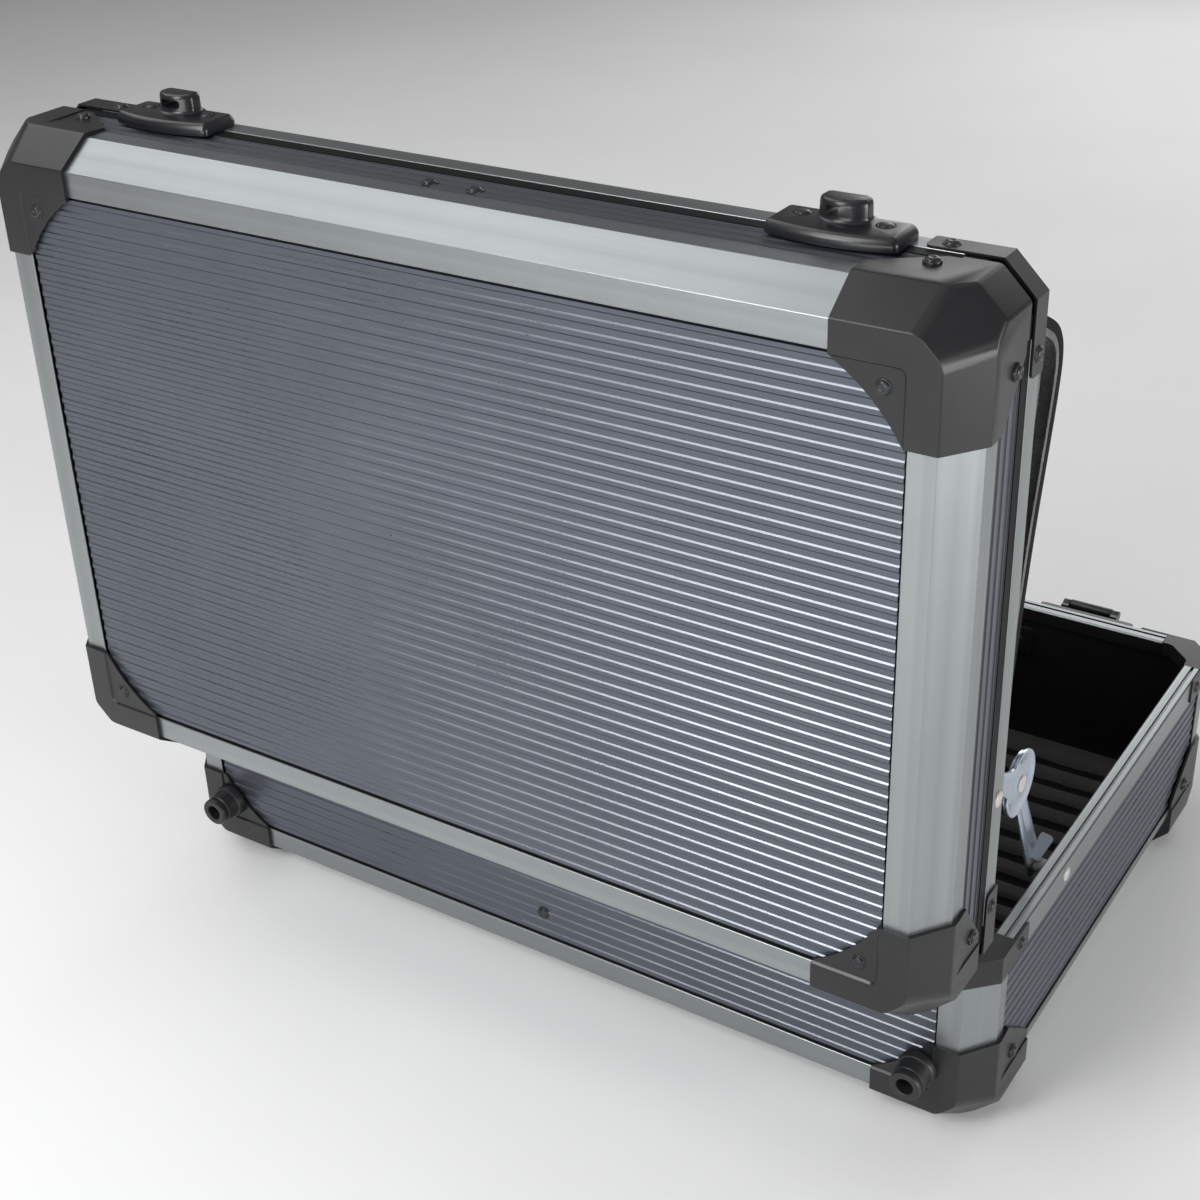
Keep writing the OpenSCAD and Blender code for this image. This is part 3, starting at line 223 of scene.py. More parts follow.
ALU = [aluminium("aluminium_x", 0), aluminium("aluminium_y", 1), aluminium("aluminium_z", 2)]
BOARD = [board("board_x", 0), board("board_y", 1)]
# The boards' core: its near-black colour paints the shade in the gaps beside the frame's lips
GAP_SHADE_CORE = satin("board_core_gap_shade", (0.010, 0.010, 0.011), (0.016, 0.016, 0.017), (0.6, 0.8))
# Painted highlight and painted shade on the slopes of the boards' grooves: slopes that face up are
# light, slopes that face down are dark
RIB_HIGHLIGHT = satin("rib_painted_highlight", (0.14, 0.15, 0.17), (0.18, 0.19, 0.21), (0.25, 0.33), 0.8)
RIB_SHADE = satin("rib_painted_shade", (0.022, 0.024, 0.030), (0.032, 0.034, 0.040), (0.4, 0.5), 0.4)
GUARD = satin("charcoal", (0.012, 0.012, 0.0135), (0.017, 0.017, 0.0185), (0.30, 0.38),
              strength=0.08, specular=0.42)
LINING = fabric("lining", (0.006, 0.006, 0.006), (0.010, 0.010, 0.010), 1500, 0.35, 0.05, 0.15)
FOAM = fabric("foam", (0.048, 0.047, 0.045), (0.064, 0.062, 0.059), 1100, 0.5, 0.1)
PILE = fabric("pile", (0.07, 0.07, 0.07), (0.16, 0.16, 0.16), 900, 0.9, 0.4)
LEATHERETTE = satin("leatherette", (0.010, 0.010, 0.010), (0.016, 0.016, 0.016), (0.6, 0.75),
                    grain=900, strength=0.5, specular=0.06)
RUBBER = satin("rubber", (0.010, 0.010, 0.011), (0.016, 0.016, 0.017), (0.36, 0.5),
               grain=1500, strength=0.25)
SEAL = satin("seal", (0.008, 0.008, 0.009), (0.012, 0.012, 0.013), (0.4, 0.5), specular=0.06)
RIVET = satin("dark_rivet", (0.026, 0.028, 0.030), (0.045, 0.047, 0.050), (0.26, 0.36), 0.5,
              grain=1600, strength=0.08)
HINGE = satin("hinge", (0.42, 0.44, 0.46), (0.52, 0.54, 0.56), (0.3, 0.42), 0.9)
ZINC = satin("zinc", (0.44, 0.50, 0.60), (0.54, 0.60, 0.69), (0.18, 0.26), 0.85,
             grain=2400, strength=0.03)
HEAD = satin("rivet_head", (0.40, 0.39, 0.36), (0.50, 0.485, 0.45), (0.34, 0.44), 0.15,
             grain=2400, strength=0.08)
LATCH = satin("latch_black", (0.008, 0.008, 0.010), (0.013, 0.013, 0.016), (0.26, 0.36),
              grain=2200, strength=0.03, coat=0.15)
HANDLE = satin("handle", (0.012, 0.012, 0.012), (0.020, 0.020, 0.020), (0.42, 0.56),
               grain=1200, strength=0.4, specular=0.35)

BY_SLOT = {
    "charcoal_guard": GUARD, "black_lining": LINING, "foam_pad": FOAM,
    "organiser_board": LEATHERETTE, "black_rubber": RUBBER, "black_seal": SEAL,
    "dark_rivet": RIVET, "hinge_metal": HINGE, "zinc_steel": ZINC, "black_latch": LATCH,
    "handle_plastic": HANDLE,
}
SLOT_OF = {s["node"]: s["material_slot"] for s in frame["record"]["subparts"]}


def finish_of(node):
    """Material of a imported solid; drawn lines run along its length."""
    slot = SLOT_OF[node]
    if slot == "aluminium_frame":
        if "posts" in node:
            return ALU[2]
        if node.endswith("_front") or node.endswith("_back"):
            return ALU[0]
        return ALU[2] if node.startswith("lid_") else ALU[1]
    if slot == "ribbed_board":
        return BOARD[1] if node in ("base_left_panel", "base_right_panel") else BOARD[0]
    return BY_SLOT[slot]


def soften(o, name, width, segments, angle):
    """Bevel of a width in millimetres on the edges that turn by more than an angle."""
    b = o.modifiers.new(name, "BEVEL")
    b.width = width * MM
    b.segments = segments
    b.limit_method = "ANGLE"
    b.angle_limit = math.radians(angle)
    b.harden_normals = False


def dress(node, bevel, segments):
    """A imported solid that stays: its material, and softly broken edges."""
    o = nodes[node]
    o.data.materials.clear()
    o.data.materials.append(finish_of(node))
    weld = o.modifiers.new("weld", "WELD")
    weld.merge_threshold = 1e-5
    if bevel:
        flat = o.modifiers.new("planar", "DECIMATE")
        flat.decimate_type = "DISSOLVE"
        flat.angle_limit = math.radians(1)
        soften(o, "bevel", bevel, segments, 32)


# Shapes in millimetres

class Shape:
    """Points and faces of one piece, with a material number for each face."""

    def __init__(self):
        self.points, self.faces, self.marks = [], [], []

    def add(self, points, faces, mark=0, at=None):
        n = len(self.points)
        self.points += [at(Vector(p)) if at else Vector(p) for p in points]
        self.faces += [tuple(i + n for i in f) for f in faces]
        self.marks += [mark] * len(faces)
        return self


def loft(rings):
    """Closed solid through rings of equal counts, with a face at each end."""
    n = len(rings[0])
    points = [p for ring in rings for p in ring]
    faces = []
    for k in range(len(rings) - 1):
        for i in range(n):
            j = (i + 1) % n
            faces.append((k * n + i, k * n + j, (k + 1) * n + j, (k + 1) * n + i))
    faces.append(tuple(range(n - 1, -1, -1)))
    faces.append(tuple(range((len(rings) - 1) * n, len(rings) * n)))
    return points, faces


def prism(outline, low, high, place):
    """An outline (u, v) run from low to high; place gives the point of (u, v, w)."""
    return loft([[place(u, v, w) for u, v in outline] for w in (low, high)])


def rounded(points, radii, segments=4):
    """Outline with its corners rounded by one radius, or by one for each corner."""
    out = []
    n = len(points)
    for i, p in enumerate(points):
        r = radii if isinstance(radii, (int, float)) else radii[i]
        p, a, b = Vector(p), Vector(points[i - 1]), Vector(points[(i + 1) % n])
        a, b = a - p, b - p
        la, lb = a.length, b.length
        a.normalize()
        b.normalize()
        angle = a.angle(b)
        if r <= 0 or angle > math.pi - 1e-3:
            out.append(tuple(p))
            continue
        d = min(r / math.tan(angle / 2), 0.49 * la, 0.49 * lb)
        r = d * math.tan(angle / 2)
        c = p + (a + b).normalized() * (r / math.sin(angle / 2))
        start, end = p + a * d - c, p + b * d - c
        turn = start.angle_signed(end)
        for k in range(segments + 1):
            t = -turn * k / segments
            out.append((c.x + start.x * math.cos(t) - start.y * math.sin(t),
                        c.y + start.x * math.sin(t) + start.y * math.cos(t)))
    return out


def offset(points, by):
    """Convex or nearly convex outline, counter-clockwise, moved inward by a distance."""
    out = []
    n = len(points)
    for i, p in enumerate(points):
        a, b = Vector(points[i - 1]), Vector(points[(i + 1) % n])
        p = Vector(p)
        d0, d1 = (p - a).normalized(), (b - p).normalized()
        n0, n1 = Vector((-d0.y, d0.x)), Vector((-d1.y, d1.x))
        m = (n0 + n1) / max(0.3, 1 + n0.dot(n1))
        out.append((p.x + m.x * by, p.y + m.y * by))
    return out


def arc(cx, cy, r, a0, a1, count):
    angles = [math.radians(a0 + (a1 - a0) * k / count) for k in range(count + 1)]
    return [(cx + r * math.cos(a), cy + r * math.sin(a)) for a in angles]


def lathe(profile, segments):
    """Solid of revolution of a profile (radius, height) that starts and ends on the axis."""
    inner = [q for q in profile if q[0] > 1e-6]
    turns = [2 * math.pi * i / segments for i in range(segments)]
    points = [(r * math.cos(a), r * math.sin(a), h) for r, h in inner for a in turns]
    faces = []
    for k in range(len(inner) - 1):
        low, high = k * segments, (k + 1) * segments
        for i in range(segments):
            j = (i + 1) % segments
            faces.append((low + i, low + j, high + j, high + i))
    faces.append(tuple(range(segments - 1, -1, -1)))
    top = (len(inner) - 1) * segments
    points.append((0, 0, profile[-1][1]))
    for i in range(segments):
        faces.append((top + i, top + (i + 1) % segments, len(points) - 1))
    return points, faces


def upright(u, v, w):
    return Vector((u, v, w))


def aimed(at, direction):
    """Puts a shape that stands along +Z at a point, standing along a direction."""
    m = Matrix.Translation(at) @ Vector(direction).to_track_quat("Z", "Y").to_matrix().to_4x4()
    return lambda p: m @ p


def make_mesh(name, shape, lid=False, unit=MM):
    me = bpy.data.meshes.new(name)
    points = [(OPEN @ p if lid else p) * unit for p in shape.points]
    me.from_pydata(points, [], shape.faces)
    for polygon, mark in zip(me.polygons, shape.marks):
        polygon.material_index = mark
    bm = bmesh.new()
    bm.from_mesh(me)
    bmesh.ops.recalc_face_normals(bm, faces=bm.faces)
    bm.to_mesh(me)
    bm.free()
    return me


def add_object(name, me):
    o = bpy.data.objects.new(name, me)
    scene.collection.objects.link(o)
    return o


def solid(points, faces):
    """A template, or a tool that cuts one, where one unit is a millimetre."""
    return add_object("tool", make_mesh("tool", Shape().add(points, faces), unit=1))


def apply_modifiers(o):
    me = bpy.data.meshes.new_from_object(o.evaluated_get(bpy.context.evaluated_depsgraph_get()))
    o.modifiers.clear()
    old = o.data
    o.data = me
    bpy.data.meshes.remove(old)


def cut(o, tool, operation="DIFFERENCE"):
    """Boolean with a tool, which is used up."""
    b = o.modifiers.new("cut", "BOOLEAN")
    b.operation = operation
    b.solver = "EXACT"
    b.object = tool
    apply_modifiers(o)
    bpy.data.objects.remove(tool)


def placed_mesh(template, m, lid):
    """The template's mesh moved by a matrix in millimetres, mirrored ones turned right again."""
    me = template.data.copy()
    me.transform(Matrix.Scale(MM, 4) @ (OPEN @ m if lid else m))
    if m.determinant() < 0:
        me.flip_normals()
    return me


def finish_piece(o, body, finishes, hides=(), sharp=30):
    """Materials, shading and body of a piece."""
    me = o.data
    for f in finishes:
        me.materials.append(f)
    me.shade_smooth()
    me.set_sharp_from_angle(angle=math.radians(sharp))
    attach(o, body)
    if hides:
        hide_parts(*hides)
    return o


def piece(name, shape, body, finishes, hides=(), sharp=30, lid=False):
    o = add_object(name, make_mesh(name, shape, lid))
    return finish_piece(o, body, finishes, hides, sharp)


# Ribbed boards: u runs across the ribs, v along them, d into the board

HIGHLIGHT_EDGE, SHADE_EDGE = 2, 3  # the painted highlight and the painted shade on a rib's two edges, as numbers in board_finishes
RIB_SLOPE = 0.32  # half the width of an edge
SKIN = 1.8  # thickness of the ribbed sheet, which lies on a core coloured near-black to paint the shade in the gaps beside the frame's lips
CORE_DEPTH = 4.0
LINE_RISE = 0.35  # a fine raised line runs along some boards


def board_finishes(axis):
    return [BOARD[axis], GAP_SHADE_CORE, RIB_HIGHLIGHT, RIB_SHADE]


def ribbed(shape, u0, u1, ribs_from, ribs_to, half_v, place, gap_low=0.0, gap_high=0.0,
           gap_end=0.0, line=None, trim=None, edges=(HIGHLIGHT_EDGE, SHADE_EDGE)):
    """Board from u0 to u1 with its ribs, and a shadow gap beside the lips of the frame, where the
    near-black core paints the shade. Other distances along u start at u0; line is where a raised
    line runs, trim is the cut of the board's corners, and edges are the materials of each groove's
    two slopes, a painted highlight and a painted shade."""
    count = max(1, int((ribs_to - ribs_from) / PITCH))
    first = (ribs_from + ribs_to) / 2 - (count - 1) * PITCH / 2
    rows = [(u0 + gap_low, 0.0)]
    if line is not None:
        rows += [(u0 + line - 0.5, 0.0), (u0 + line - 0.2, -LINE_RISE),
                 (u0 + line + 0.2, -LINE_RISE), (u0 + line + 0.5, 0.0)]
    for i in range(count):
        c = u0 + first + i * PITCH
        rows += [(c - GROOVE_W / 2 - RIB_SLOPE, 0.0), (c - GROOVE_W / 2 + RIB_SLOPE, GROOVE_D),
                 (c + GROOVE_W / 2 - RIB_SLOPE, GROOVE_D), (c + GROOVE_W / 2 + RIB_SLOPE, 0.0)]
    rows.append((u1 - gap_high, 0.0))
    outline = rows + [(rows[-1][0], SKIN), (rows[0][0], SKIN)]
    mid = (u0 + u1) / 2
    half_u = (u1 - u0) / 2

    def reach(u, half):
        return half if trim is None else min(half, half - (abs(u - mid) - (half_u - trim)))

    ends = [[place(u, s * reach(u, half_v - gap_end), d) for u, d in outline] for s in (-1, 1)]
    begin = len(shape.faces)
    shape.add(*loft(ends))
    for i in range(len(rows) - 1):
        if rows[i][1] < rows[i + 1][1]:
            shape.marks[begin + i] = edges[0]
        elif rows[i][1] > rows[i + 1][1]:
            shape.marks[begin + i] = edges[1]
    # the core, whose near-black colour shows in the gaps as painted shade
    core = [(u0, -half_v), (u1, -half_v), (u1, half_v), (u0, half_v)]
    if trim:
        inner_u0, inner_u1, inner_v = u0 + trim, u1 - trim, half_v - trim
        core = [(inner_u0, -half_v), (inner_u1, -half_v), (u1, -inner_v), (u1, inner_v),
                (inner_u1, half_v), (inner_u0, half_v), (u0, inner_v), (u0, -inner_v)]
    shape.add(*loft([[place(u, v, d) for u, v in core] for d in (SKIN - 0.1, CORE_DEPTH)]), mark=1)
    return shape


def on_front_or_back(s):
    return lambda u, v, d: Vector((v, s * (HALF_D - BOARD_IN - d), u))


def on_side(s):
    return lambda u, v, d: Vector((s * (HALF_W - BOARD_IN - d), v, u))


lid_board = ribbed(Shape(), -140, 140, 9.5, 270.5, 217.5,
                   lambda u, v, d: Vector((v, -u, LID_Z1 - BOARD_IN - d)),
                   gap_low=10.9, gap_high=10.9, gap_end=10.6, trim=6.5)
piece("lid_board", lid_board, "lid", board_finishes(0), ["lid_top_panel"],
      lid=True)

walls = Shape()
for s in (-1, 1):
    for half_v, place in ((209, on_front_or_back(s)), (131.5, on_side(s))):
        # both slopes of the wall boards' grooves take the painted shade
        ribbed(walls, 103.3, 141.8, 11.5, 30, half_v, place, gap_high=9.5, line=11.9,
               edges=(SHADE_EDGE, SHADE_EDGE))
piece("lid_wall_boards", walls, "lid", board_finishes(0), ["lid_wall_panels"],
      lid=True)

for s, name in ENDS:
    long_board = ribbed(Shape(), 12.5, 90, 9.5, 72, 213.5, on_front_or_back(s), gap_low=10.9,
                        gap_end=6.6)
    piece(f"base_{name}_board", long_board, "base", board_finishes(0),
          [f"base_{name}_panel"])
for s, name in SIDES:
    short_board = ribbed(Shape(), 21.8, 90, 2.5, 62.7, 136, on_side(s), gap_low=3.9, gap_end=6.6)
    piece(f"base_{name}_board", short_board, "base", board_finishes(1),
          [f"base_{name}_panel"])


# Corner protectors, in corner coordinates: p and q along the large face, r into the depth

LEG, STRIP = 51.5, 22.5  # length of a leg, and of the strip beside the walls
FAR, NEAR, ARC_R = 50.5, 24.0, 75.0  # ends and radius of the hollow edge between the legs
BEVEL_FACE, BEVEL_WALL = 11, 15  # reach of the bevels on the large face and on the walls
BEFORE, BEYOND = -6, 90  # ends of the tools, clear of the protector on either side
SLANT_START, SLANT_END = 26, 28.6  # a wall's slanting edge: depth it starts at, length it ends at
# Widths of the soft edges between two kinds of faces, as shares of BLEND
BLEND = 10.0
BLENDS = {
    ("bevel", "facet"): 0.36, ("cut", "facet"): 0.14, ("face", "facet"): 0.06,
    ("bevel", "face"): 0.06, ("bevel", "wall"): 0.08, ("cut", "wall"): 0.12,
    ("facet", "wall"): 0.16,
}


def corner_solid(out, lengths, corner, facet, blends=None):
    """Convex solid of a corner with its outer faces moved out and its lengths along p, q and r.
    corner is the cut between the walls, and facet the slope and the reach of the facet on the
    large face."""
    me = bpy.data.meshes.new("corner")
    o = add_object("corner", me)
    bm = bmesh.new()
    bmesh.ops.create_cube(bm, size=1.0)
    for v in bm.verts:
        v.co = Vector([-out if v.co[i] < 0 else lengths[i] for i in range(3)])
    planes = [((1 / BEVEL_FACE, 0, 1 / BEVEL_WALL), 1.0, "bevel"),
              ((0, 1 / BEVEL_FACE, 1 / BEVEL_WALL), 1.0, "bevel"),
              ((1, 1, 0), corner, "cut"), ((1, 1, facet[0]), facet[1], "facet")]
    for n, d, _ in planes:
        n = Vector(n)
        size = n.length
        n.normalize()
        bmesh.ops.bisect_plane(bm, geom=bm.verts[:] + bm.edges[:] + bm.faces[:],
                               plane_co=n * (d / size - out), plane_no=n, clear_inner=True,
                               dist=1e-5)
        bmesh.ops.contextual_create(bm, geom=[e for e in bm.edges if e.is_boundary])
    bmesh.ops.remove_doubles(bm, verts=bm.verts, dist=1e-4)
    bmesh.ops.recalc_face_normals(bm, faces=bm.faces)
    bm.normal_update()
    if blends:
        weight = bm.edges.layers.float.new("bevel_weight_edge")
        slopes = [(Vector(n).normalized(), kind) for n, _, kind in planes]

        def kind_of(f):
            best, name = 0.999, "end"
            for n, kind in slopes:
                if -f.normal.dot(n) > best:
                    best, name = -f.normal.dot(n), kind
            if name == "end" and f.normal.z < -0.99:
                return "face"
            if name == "end" and min(f.normal.x, f.normal.y) < -0.99:
                return "wall"
            return name

        for e in bm.edges:
            if len(e.link_faces) == 2:
                e[weight] = blends.get(tuple(sorted(kind_of(f) for f in e.link_faces)), 0.0)
    bm.to_mesh(me)
    bm.free()
    if blends:
        b = o.modifiers.new("blend", "BEVEL")
        b.limit_method = "WEIGHT"
        b.width = BLEND
        b.segments = 6
        b.offset_type = "OFFSET"
        b.use_clamp_overlap = False
        b.harden_normals = False
        apply_modifiers(o)
    return o


def guard_template(length_q, depth):
    """One protector in corner coordinates."""
    o = corner_solid(GUARD_T, (LEG, length_q, depth + 20), 10.2, (0.93, 30.45), BLENDS)
    # outline on the large face, with the hollow edge between the legs
    mid, half_chord = (FAR + NEAR) / 2, (FAR - NEAR) / math.sqrt(2)
    c = mid + math.sqrt(ARC_R**2 - half_chord**2) / math.sqrt(2)
    a0 = math.degrees(math.atan2(NEAR - c, FAR - c)) % 360
    a1 = math.degrees(math.atan2(FAR - c, NEAR - c)) % 360
    past, short = LEG + 8, STRIP - 12
    face = [(BEFORE, BEFORE), (past, BEFORE), (past, short), *arc(c, c, ARC_R, a0, a1, 14),
            (short, past), (BEFORE, past)]
    cut(o, solid(*prism(face, BEFORE, BEYOND, upright)), "INTERSECT")
    # outline on each wall, with its slanting edge
    for length, stretch, place in ((LEG, 1, lambda u, v, w: Vector((u, w, v))),
                                   (length_q, 1.3, lambda u, v, w: Vector((w, u, v)))):
        slant = Vector((SLANT_END - length, depth - SLANT_START)) * stretch
        foot = SLANT_START + slant.y
        wall = [(BEFORE, BEFORE), (length + 9, BEFORE), (length + 9, SLANT_START),
                (length, SLANT_START), (length + slant.x, foot), (BEFORE, foot)]
        cut(o, solid(*prism(wall, BEFORE, BEYOND, place)), "INTERSECT")
    cut(o, corner_solid(0, (120, 120, 120), 20.0, (0.82, 31.1)))
    # recess in the web on the large face, with sloping sides and a round inner corner
    s, far = STRIP, 80
    rim = rounded([(s, s), (far, s), (far, far), (s, far)], [3.2, 0, 0, 0], 6)
    s += 0.9
    floor_line = rounded([(s, s), (far, s), (far, far), (s, far)], [2.6, 0, 0, 0], 6)
    cut(o, solid(*loft([[(u, v, -3.0) for u, v in offset(rim, -1.1)],
                        [(u, v, -GUARD_T) for u, v in rim],
                        [(u, v, -GUARD_T + 0.8) for u, v in floor_line]])))
    # recess of the rivet on each wall: deep at the corner's side, fading toward the bevel
    deep = -GUARD_T + 0.6
    fade = [(-3.0, 17.0), (-GUARD_T, 18.5), (deep, 27.0), (deep, BEYOND), (-3.0, BEYOND)]
    for place in (lambda u, v, w: Vector((v, u, w)), upright):
        cut(o, solid(*loft([[place(u, v, w) for u, w in fade] for v in (23.2, BEYOND)])))
    return o


def place_guard(name, template, body, node, axes, at, lid):
    """Puts a protector on its corner: axes are the row-frame directions of p, q and r."""
    m = Matrix(axes).transposed().to_4x4()
    m.translation = Vector(at)
    o = add_object(name, placed_mesh(template, m, lid))
    finish_piece(o, body, [GUARD], [node], 24)
    soften(o, "edges", 0.25, 2, 50)


lid_guard = guard_template(LEG, 42)
base_guard = guard_template(LEG - 2.5, LEG)
for sx, side in SIDES:
    for sy, end in ENDS:
        place_guard(f"lid_protector_{end}_{side}", lid_guard, "lid", f"lid_guard_{end}_{side}",
                    ((-sx, 0, 0), (0, -sy, 0), (0, 0, -1)), (sx * HALF_W, sy * HALF_D, LID_Z1),
                    True)
        place_guard(f"base_protector_{end}_{side}", base_guard, "base",
                    f"base_guard_{end}_{side}", ((-sx, 0, 0), (0, 0, 1), (0, -sy, 0)),
                    (sx * HALF_W, sy * HALF_D, 0), False)
bpy.data.objects.remove(lid_guard)
bpy.data.objects.remove(base_guard)


# Braces round the corners of the rims, in corner coordinates with h away from the rim plane

def brace_shape(height, cap):
    """A band round the corner with round ends, and a plate over the rim that reaches cap deep."""
    tip, foot, steps = 2.6, 1.2, 6  # rounds of the band's ends above and below
    ends = []
    for k in range(steps + 1):
        a = math.pi / 2 * k / steps
        back = tip * (1 - math.cos(a))
        near = max(0.0, 1 - back / foot)
        ends.append((41 - back, foot * (1 - math.sqrt(1 - near * near)),
                     height - tip * (1 - math.sin(a))))
    stations = [((u, -BRACE_T), (u, 0), low, high) for u, low, high in ends]
    stations += [((11.6, -BRACE_T), (12.0, 0), 0, height), ((-BRACE_T, 11.6), (0, 12.0), 0, height)]
    stations += [((-BRACE_T, u), (0, u), low, high) for u, low, high in ends[::-1]]
    shape = Shape()
    shape.add(*loft([[(*outer, low), (*outer, high), (*inner, high), (*inner, low)]
                     for outer, inner, low, high in stations]))
    top = [(26, 0), (16, -0.5), (11.4, -0.6), (-0.6, 11.4), (-0.5, 16), (0, 26), (9, 26),
           (9, 20.7), (20.7, 9), (26, 9)]
    top = rounded(top, [0, 0, 0, 0, 0, 0, 0.8, 5, 5, 0.8], 5)
    shape.add(*prism(top, 0.02, cap, upright))
    return shape


for body, height, cap, z, up in (("base", 13.5, 8, BASE_H, -1), ("lid", 10.5, 5, LID_Z0, 1)):
    braces = Shape()
    part = brace_shape(height, cap)
    for sx in (-1, 1):
        for sy in (-1, 1):
            braces.add([(sx * (HALF_W - q.x), sy * (HALF_D - q.y), z + up * q.z)
                        for q in part.points], part.faces)
    o = piece(f"{body}_corner_braces", braces, body, [GUARD],
              [f"{body}_rim_braces"], 28, body == "lid")
    soften(o, "edges", 0.3, 2, 50)


# Rivets: profiles of (radius, height) over the face that they sit on

POP = [(0, -0.9), (3.4, -0.9), (3.4, 0.12), (3.3, 0.3), (3.05, 0.4), (2.86, 0.4), (2.72, 0.34),
       (2.66, 0.5), (2.5, 0.86), (2.1, 1.13), (1.6, 1.25), (1.15, 1.3), (1.0, 1.22), (0.55, 1.12),
       (0, 1.1)]
FLAT = [(0, -0.5), (3.4, -0.5), (3.4, 0.45), (3.25, 0.72), (2.9, 0.92), (2.2, 1.12), (1.2, 1.26),
        (0, 1.3)]
DOME = [(0, -0.7), (3.2, -0.7), (3.2, 0.1), (3.0, 0.25), (2.75, 0.25), (2.6, 0.15), (2.5, 0.45),
        (2.0, 0.75), (1.2, 0.88), (0, 0.9)]
SMALL = [(0, -0.4), (2.2, -0.4), (2.2, 0.1), (1.9, 0.4), (1.2, 0.62), (0, 0.7)]
STAY_SEAT = 221  # the rims' inner faces, where the rivets of the stays sit


def side_rivet(shape, s, out, y, z, profile=POP, mark=0):
    shape.add(*lathe(profile, 28), mark, aimed((s * (HALF_W + out), y, z), (s, 0, 0)))


def wall_rivet(shape, s, out, x, z):
    shape.add(*lathe(POP, 28), 0, aimed((x, s * (HALF_D + out), z), (0, s, 0)))


def stay_rivet(shape, s, y, z, face):
    """Shouldered rivet of a lid stay; face is where the inner face of its link lies."""
    far = STAY_SEAT - face
    profile = [(0, 0), (3.5, 0), (3.5, far - 1.8), (2.5, far - 1.8), (2.5, far + 0.3),
               (3.8, far + 0.3), (4.0, far + 0.5), (4.0, far + 0.9), (3.6, far + 1.2),
               (2.6, far + 1.3), (0, far + 1.3)]
    shape.add(*lathe(profile, 32), 1, aimed((s * STAY_SEAT, y, z), (-s, 0, 0)))


base_rivets = Shape()
for s in (-1, 1):
    for t in (-1, 1):
        side_rivet(base_rivets, s, GUARD_T, t * 119.5, 30)
        side_rivet(base_rivets, s, BRACE_T, t * 119.5, 91.25)
        wall_rivet(base_rivets, t, BRACE_T, s * 197, 91.25)
    wall_rivet(base_rivets, -1, BRACE_T, s * 201.5, 32)
    side_rivet(base_rivets, s, 0, 65, 92, FLAT, 1)
    stay_rivet(base_rivets, s, 65, 92, 213.7)
wall_rivet(base_rivets, 1, -BOARD_IN, 0, 36)
piece("base_rivet_heads", base_rivets, "base", [RIVET, HEAD], ["base_rivets"], 40)

lid_rivets = Shape()
for s in (-1, 1):
    for t in (-1, 1):
        lid_rivets.add(*lathe(POP, 28), 0, aimed((s * 199, t * 121.5, LID_Z1 + 1), (0, 0, 1)))
        side_rivet(lid_rivets, s, GUARD_T, t * 120.5, 124.3)
        wall_rivet(lid_rivets, t, GUARD_T, s * 199, 124.3)
        side_rivet(lid_rivets, s, BRACE_T, t * 119.5, 103.55)
        wall_rivet(lid_rivets, t, BRACE_T, s * 197, 103.55)
    wall_rivet(lid_rivets, -1, -BOARD_IN, s * 10.8, 125.3)
    side_rivet(lid_rivets, s, 0, 66.5, 104.3, FLAT, 1)
    stay_rivet(lid_rivets, s, 66.5, 104.3, 215.5)
piece("lid_rivet_heads", lid_rivets, "lid", [RIVET, HEAD], ["lid_rivets"], 40, True)


# Plates of the latches, in the front view: x across, w away from the rim, h outward

STRIKE_X, STRIKE_Z = 158, LID_Z0 + 1.5
STRIKE_RIVET_X, STRIKE_RIVET_W = 16, 8


def bowed_outline(half_w, r, top, a, corner, tip):
    """Straight foot with round corners, and a bow of radius r up to the top."""
    bow = arc(0, top - r, r, 90 - a, 90 + a, 14)
    return rounded([(-half_w, 0), (half_w, 0)] + bow, [corner, corner, tip] + [0] * 13 + [tip], 5)


def stacked(outline, rise, steps):
    """Rings of an outline drawn in by a distance at each height."""
    return [[(x, w + rise, h) for x, w in offset(outline, by)] for by, h in steps]


def strike_template():
    half, bow = 26.0, 4.0
    r = (half * half + bow * bow) / (2 * bow)
    plate = bowed_outline(half, r, 24.0, math.degrees(math.asin(half / r)), 3.2, 3.0)
    o = solid(*loft(stacked(plate, 0, ((0, 0), (0, 2.0), (0.25, 2.9), (0.8, 3.9), (1.3, 4.5),
                                       (1.8, 4.85), (2.4, 5.0)))))
    half, r = 9.5, 11.78
    tab = bowed_outline(half, r, 11.5, 90 - math.degrees(math.acos(half / r)), 3.0, 2.4)
    cut(o, solid(*loft(stacked(tab, 2.0, (
        (-1.7, 4.6), (-1.7, 5.0), (-0.9, 5.12), (-0.35, 5.5), (-0.08, 6.1), (0, 6.8), (0.1, 10.6),
        (0.3, 11.8), (0.7, 12.5), (1.3, 12.9), (2.1, 13.0))))), "UNION")
    window = rounded([(-5, 7.3), (5, 7.3), (5, 10.8), (-5, 10.8)], 1.3, 4)
    cut(o, solid(*prism(window, -5, 40, lambda u, v, w: Vector((u, w, v)))))
    seat = [(0, 4.35), (3.5, 4.35), (3.75, 5.4), (0, 5.4)]
    for t in (-1, 1):
        points, faces = lathe(seat, 28)
        moved = [(x + t * STRIKE_RIVET_X, w + STRIKE_RIVET_W, h) for x, w, h in points]
        cut(o, solid(moved, faces))
    return o


